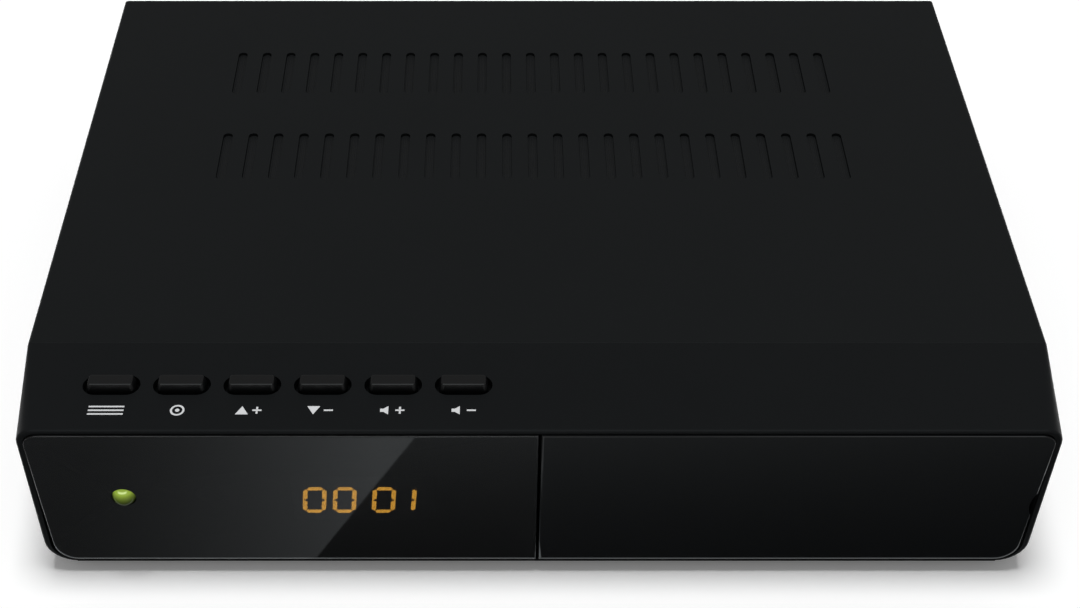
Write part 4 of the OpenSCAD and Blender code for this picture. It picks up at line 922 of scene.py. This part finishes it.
def makeFootLip():
    # rim of the moulding that closes the foot of the window and the flap, and the floor of the hinge pocket
    look = {"half": 101.6, "inset": 0.05, "rear": 1.35, "lift": 0.01, "top": 0.42, "round": 0.16,
            "pocket": (-0.9, 5.2), "pocketGap": 0.05, "pocketRear": 6.65, "floor": (0.02, 0.34), "ease": 0.05,
            "smooth": 50.0}
    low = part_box("front_bezel")[0] / mm
    front, foot = low.y + look["inset"], low.z + look["lift"]
    rear, top, r = front + look["rear"], foot + look["top"], look["round"]
    outline = [(rear, foot), (front + r, foot), (front + 0.3 * r, foot + 0.3 * r), (front, foot + r),
               (front, top - 0.6 * r), (front + 0.3 * r, top - 0.1 * r), (front + 0.7 * r, top), (rear, top)]
    mesh = bmesh.new()
    addPrism(mesh, [(-look["half"] * mm, y * mm, z * mm) for y, z in outline], (2 * look["half"] * mm, 0, 0))
    left, right = look["pocket"]
    bottom, floor = [foot + height for height in look["floor"]]
    addBlock(mesh, Vector((left, rear + look["pocketGap"], bottom)) * mm,
             Vector((right, front + look["pocketRear"], floor)) * mm, look["ease"])
    softEdges(finishPiece("footLip", mesh, finishes["frontPlastic"], "case"), look["smooth"])


makeFootLip()
for node, tag in (("aerial_input", "input"), ("aerial_output", "output")):
    makeThread(node, tag + "Thread")
    makeInsert(node, tag + "Insert")
makeCollar()
makeScartContacts()
for node, plan in stripPlans.items():
    makeStrips(node, *plan)
for node, plan in legPlans.items():
    makeLegs(node, *plan)
makeCanTops()
print("small parts added")


# floor, light and the studio cards

studio = {"floorSize": 6.0, "floorColour": (0.97, 0.97, 0.97), "tone": 0.004, "toneScale": 300.0,
          "lift": 0.09, "world": 0.28, "keyPlace": (-0.01, -0.03, 1.5), "keySize": (0.5, 0.4),
          "keyPower": 16.5}
white = (1, 1, 1, 1)


def makeFloor():
    material, tree, shaderIn = startMaterial("floorPaper", {"Roughness": 0.9, "Specular IOR Level": 0.0})
    link(tree, brokenTone(tree, opaque(studio["floorColour"]), studio), shaderIn["Base Color"])
    path = addNode(tree, "ShaderNodeLightPath").outputs
    mirrored = mathNode(tree, "MAXIMUM", path["Is Glossy Ray"], path["Is Transmission Ray"])
    seen = mathNode(tree, "MAXIMUM", path["Is Camera Ray"], mirrored)
    link(tree, mathNode(tree, "MULTIPLY", seen, studio["lift"]), shaderIn["Emission Strength"])
    shaderIn["Emission Color"].default_value = white
    mesh = bmesh.new()
    bmesh.ops.create_grid(mesh, x_segments=1, y_segments=1, size=studio["floorSize"] / 2)
    floor = newObject("floor", mesh, material)


def makeLight():
    world = bpy.data.worlds.new("studio")
    world.use_nodes = True
    bpy.context.scene.world = world
    back = world.node_tree.nodes["Background"]
    back.inputs["Color"].default_value = white
    back.inputs["Strength"].default_value = studio["world"]
    lamp = bpy.data.lights.new("key", "AREA")
    lamp.shape = "ELLIPSE"
    lamp.size, lamp.size_y = studio["keySize"]
    lamp.energy = studio["keyPower"]
    key = bpy.data.objects.new("key", lamp)
    key.location = studio["keyPlace"]
    key.rotation_euler = Vector(studio["keyPlace"]).to_track_quat("Z", "Y").to_euler()
    key.visible_glossy = False
    key.visible_transmission = False
    bpy.context.scene.collection.objects.link(key)


darkPaper = {"Base Color": (0, 0, 0, 1), "Specular IOR Level": 0.0, "Roughness": 1.0}


def hideFromAllButGloss(sheet):
    for setting in ("visible_camera", "visible_diffuse", "visible_transmission", "visible_volume_scatter",
                    "visible_shadow"):
        setattr(sheet, setting, False)


def makeCard():
    # card in front that only the glossy faces see; its pattern lies in the card's own X and Y
    look = {"low": (-0.42, -0.30), "high": (0.42, -0.0836), "height": 0.0011, "colour": (0.94, 1.0, 1.03, 1),
            "edgeTop": (-0.02829, -0.12263), "edgeFoot": (-0.04893, -0.08643), "edgeSoft": 0.0006,
            "near": -0.0852, "deep": 0.05, "left": -0.112, "wide": 0.075, "curve": 1.8,
            "streak": (0.16, 0.55), "streakDepth": (0.65, 0.45), "plain": (0.06, 0.08, 0.18), "fade": 3.0,
            "lineStart": -0.0863, "lineSoft": 0.0003, "line": 0.8}
    material, tree, shaderIn = startMaterial("lightCard", darkPaper)
    parts = pointParts(tree)
    x, y = parts[0], parts[1]
    # side of the slanting edge: below zero is the bright part
    (ax, ay), (bx, by) = look["edgeTop"], look["edgeFoot"]
    slope = (ax - bx) / (ay - by)
    side = mathNode(tree, "SUBTRACT", x, mathNode(tree, "MULTIPLY_ADD", y, slope, bx - by * slope))
    bright = ramp(tree, side, look["edgeSoft"] / 2, -look["edgeSoft"])
    depth = ramp(tree, y, look["near"], -look["deep"])
    inner = mathNode(tree, "POWER", ramp(tree, x, look["left"], look["wide"]), look["curve"])
    start, rise = look["streak"]
    streak = mathNode(tree, "MULTIPLY_ADD", inner, rise, start)
    start, rise = look["streakDepth"]
    streak = mathNode(tree, "MULTIPLY", streak, mathNode(tree, "MULTIPLY_ADD", depth, rise, start))
    start, rise, bend = look["plain"]
    plain = mathNode(tree, "MULTIPLY_ADD", mathNode(tree, "MULTIPLY_ADD", depth, bend, rise), depth, start)
    faded = mathNode(tree, "MULTIPLY", x, look["fade"], clamp=True)
    plain = mathNode(tree, "MULTIPLY", plain, mathNode(tree, "SUBTRACT", 1.0, faded))
    dim = mathNode(tree, "MULTIPLY", mathNode(tree, "SUBTRACT", 1.0, bright), plain)
    mixed = mathNode(tree, "ADD", mathNode(tree, "MULTIPLY", bright, streak), dim)
    edgeLine = ramp(tree, y, look["lineStart"], look["lineSoft"])
    link(tree, mathNode(tree, "MULTIPLY_ADD", edgeLine, look["line"], mixed), shaderIn["Emission Strength"])
    shaderIn["Emission Color"].default_value = look["colour"]
    (x0, y0), (x1, y1) = look["low"], look["high"]
    mesh = bmesh.new()
    bmesh.ops.create_grid(mesh, x_segments=1, y_segments=1, size=0.5)
    bmesh.ops.scale(mesh, verts=mesh.verts, vec=(x1 - x0, y1 - y0, 1))
    bmesh.ops.translate(mesh, verts=mesh.verts, vec=((x0 + x1) / 2, (y0 + y1) / 2, look["height"]))
    sheet = newObject("lightCard", mesh, material)
    hideFromAllButGloss(sheet)


def makeEdgeCard():
    # slanting card over the front that only draws thin highlights along rounded edges
    look = {"half": 0.36, "rear": (-0.08, 0.6), "front": (-0.6, 0.3)}
    settings = {**darkPaper, "Emission Color": (0.95, 1.0, 1.02, 1), "Emission Strength": 1.5}
    mesh = bmesh.new()
    corners = [(side * look["half"], *line) for line in (look["rear"], look["front"]) for side in (-1, 1)]
    verts = [mesh.verts.new(corner) for corner in corners]
    mesh.faces.new([verts[i] for i in (0, 1, 3, 2)])
    sheet = newObject("edgeCard", mesh, startMaterial("edgeCard", settings)[0])
    hideFromAllButGloss(sheet)


makeFloor()
makeLight()
makeCard()
makeEdgeCard()
bpy.context.scene.view_settings.view_transform = "Standard"
print("floor and light set")
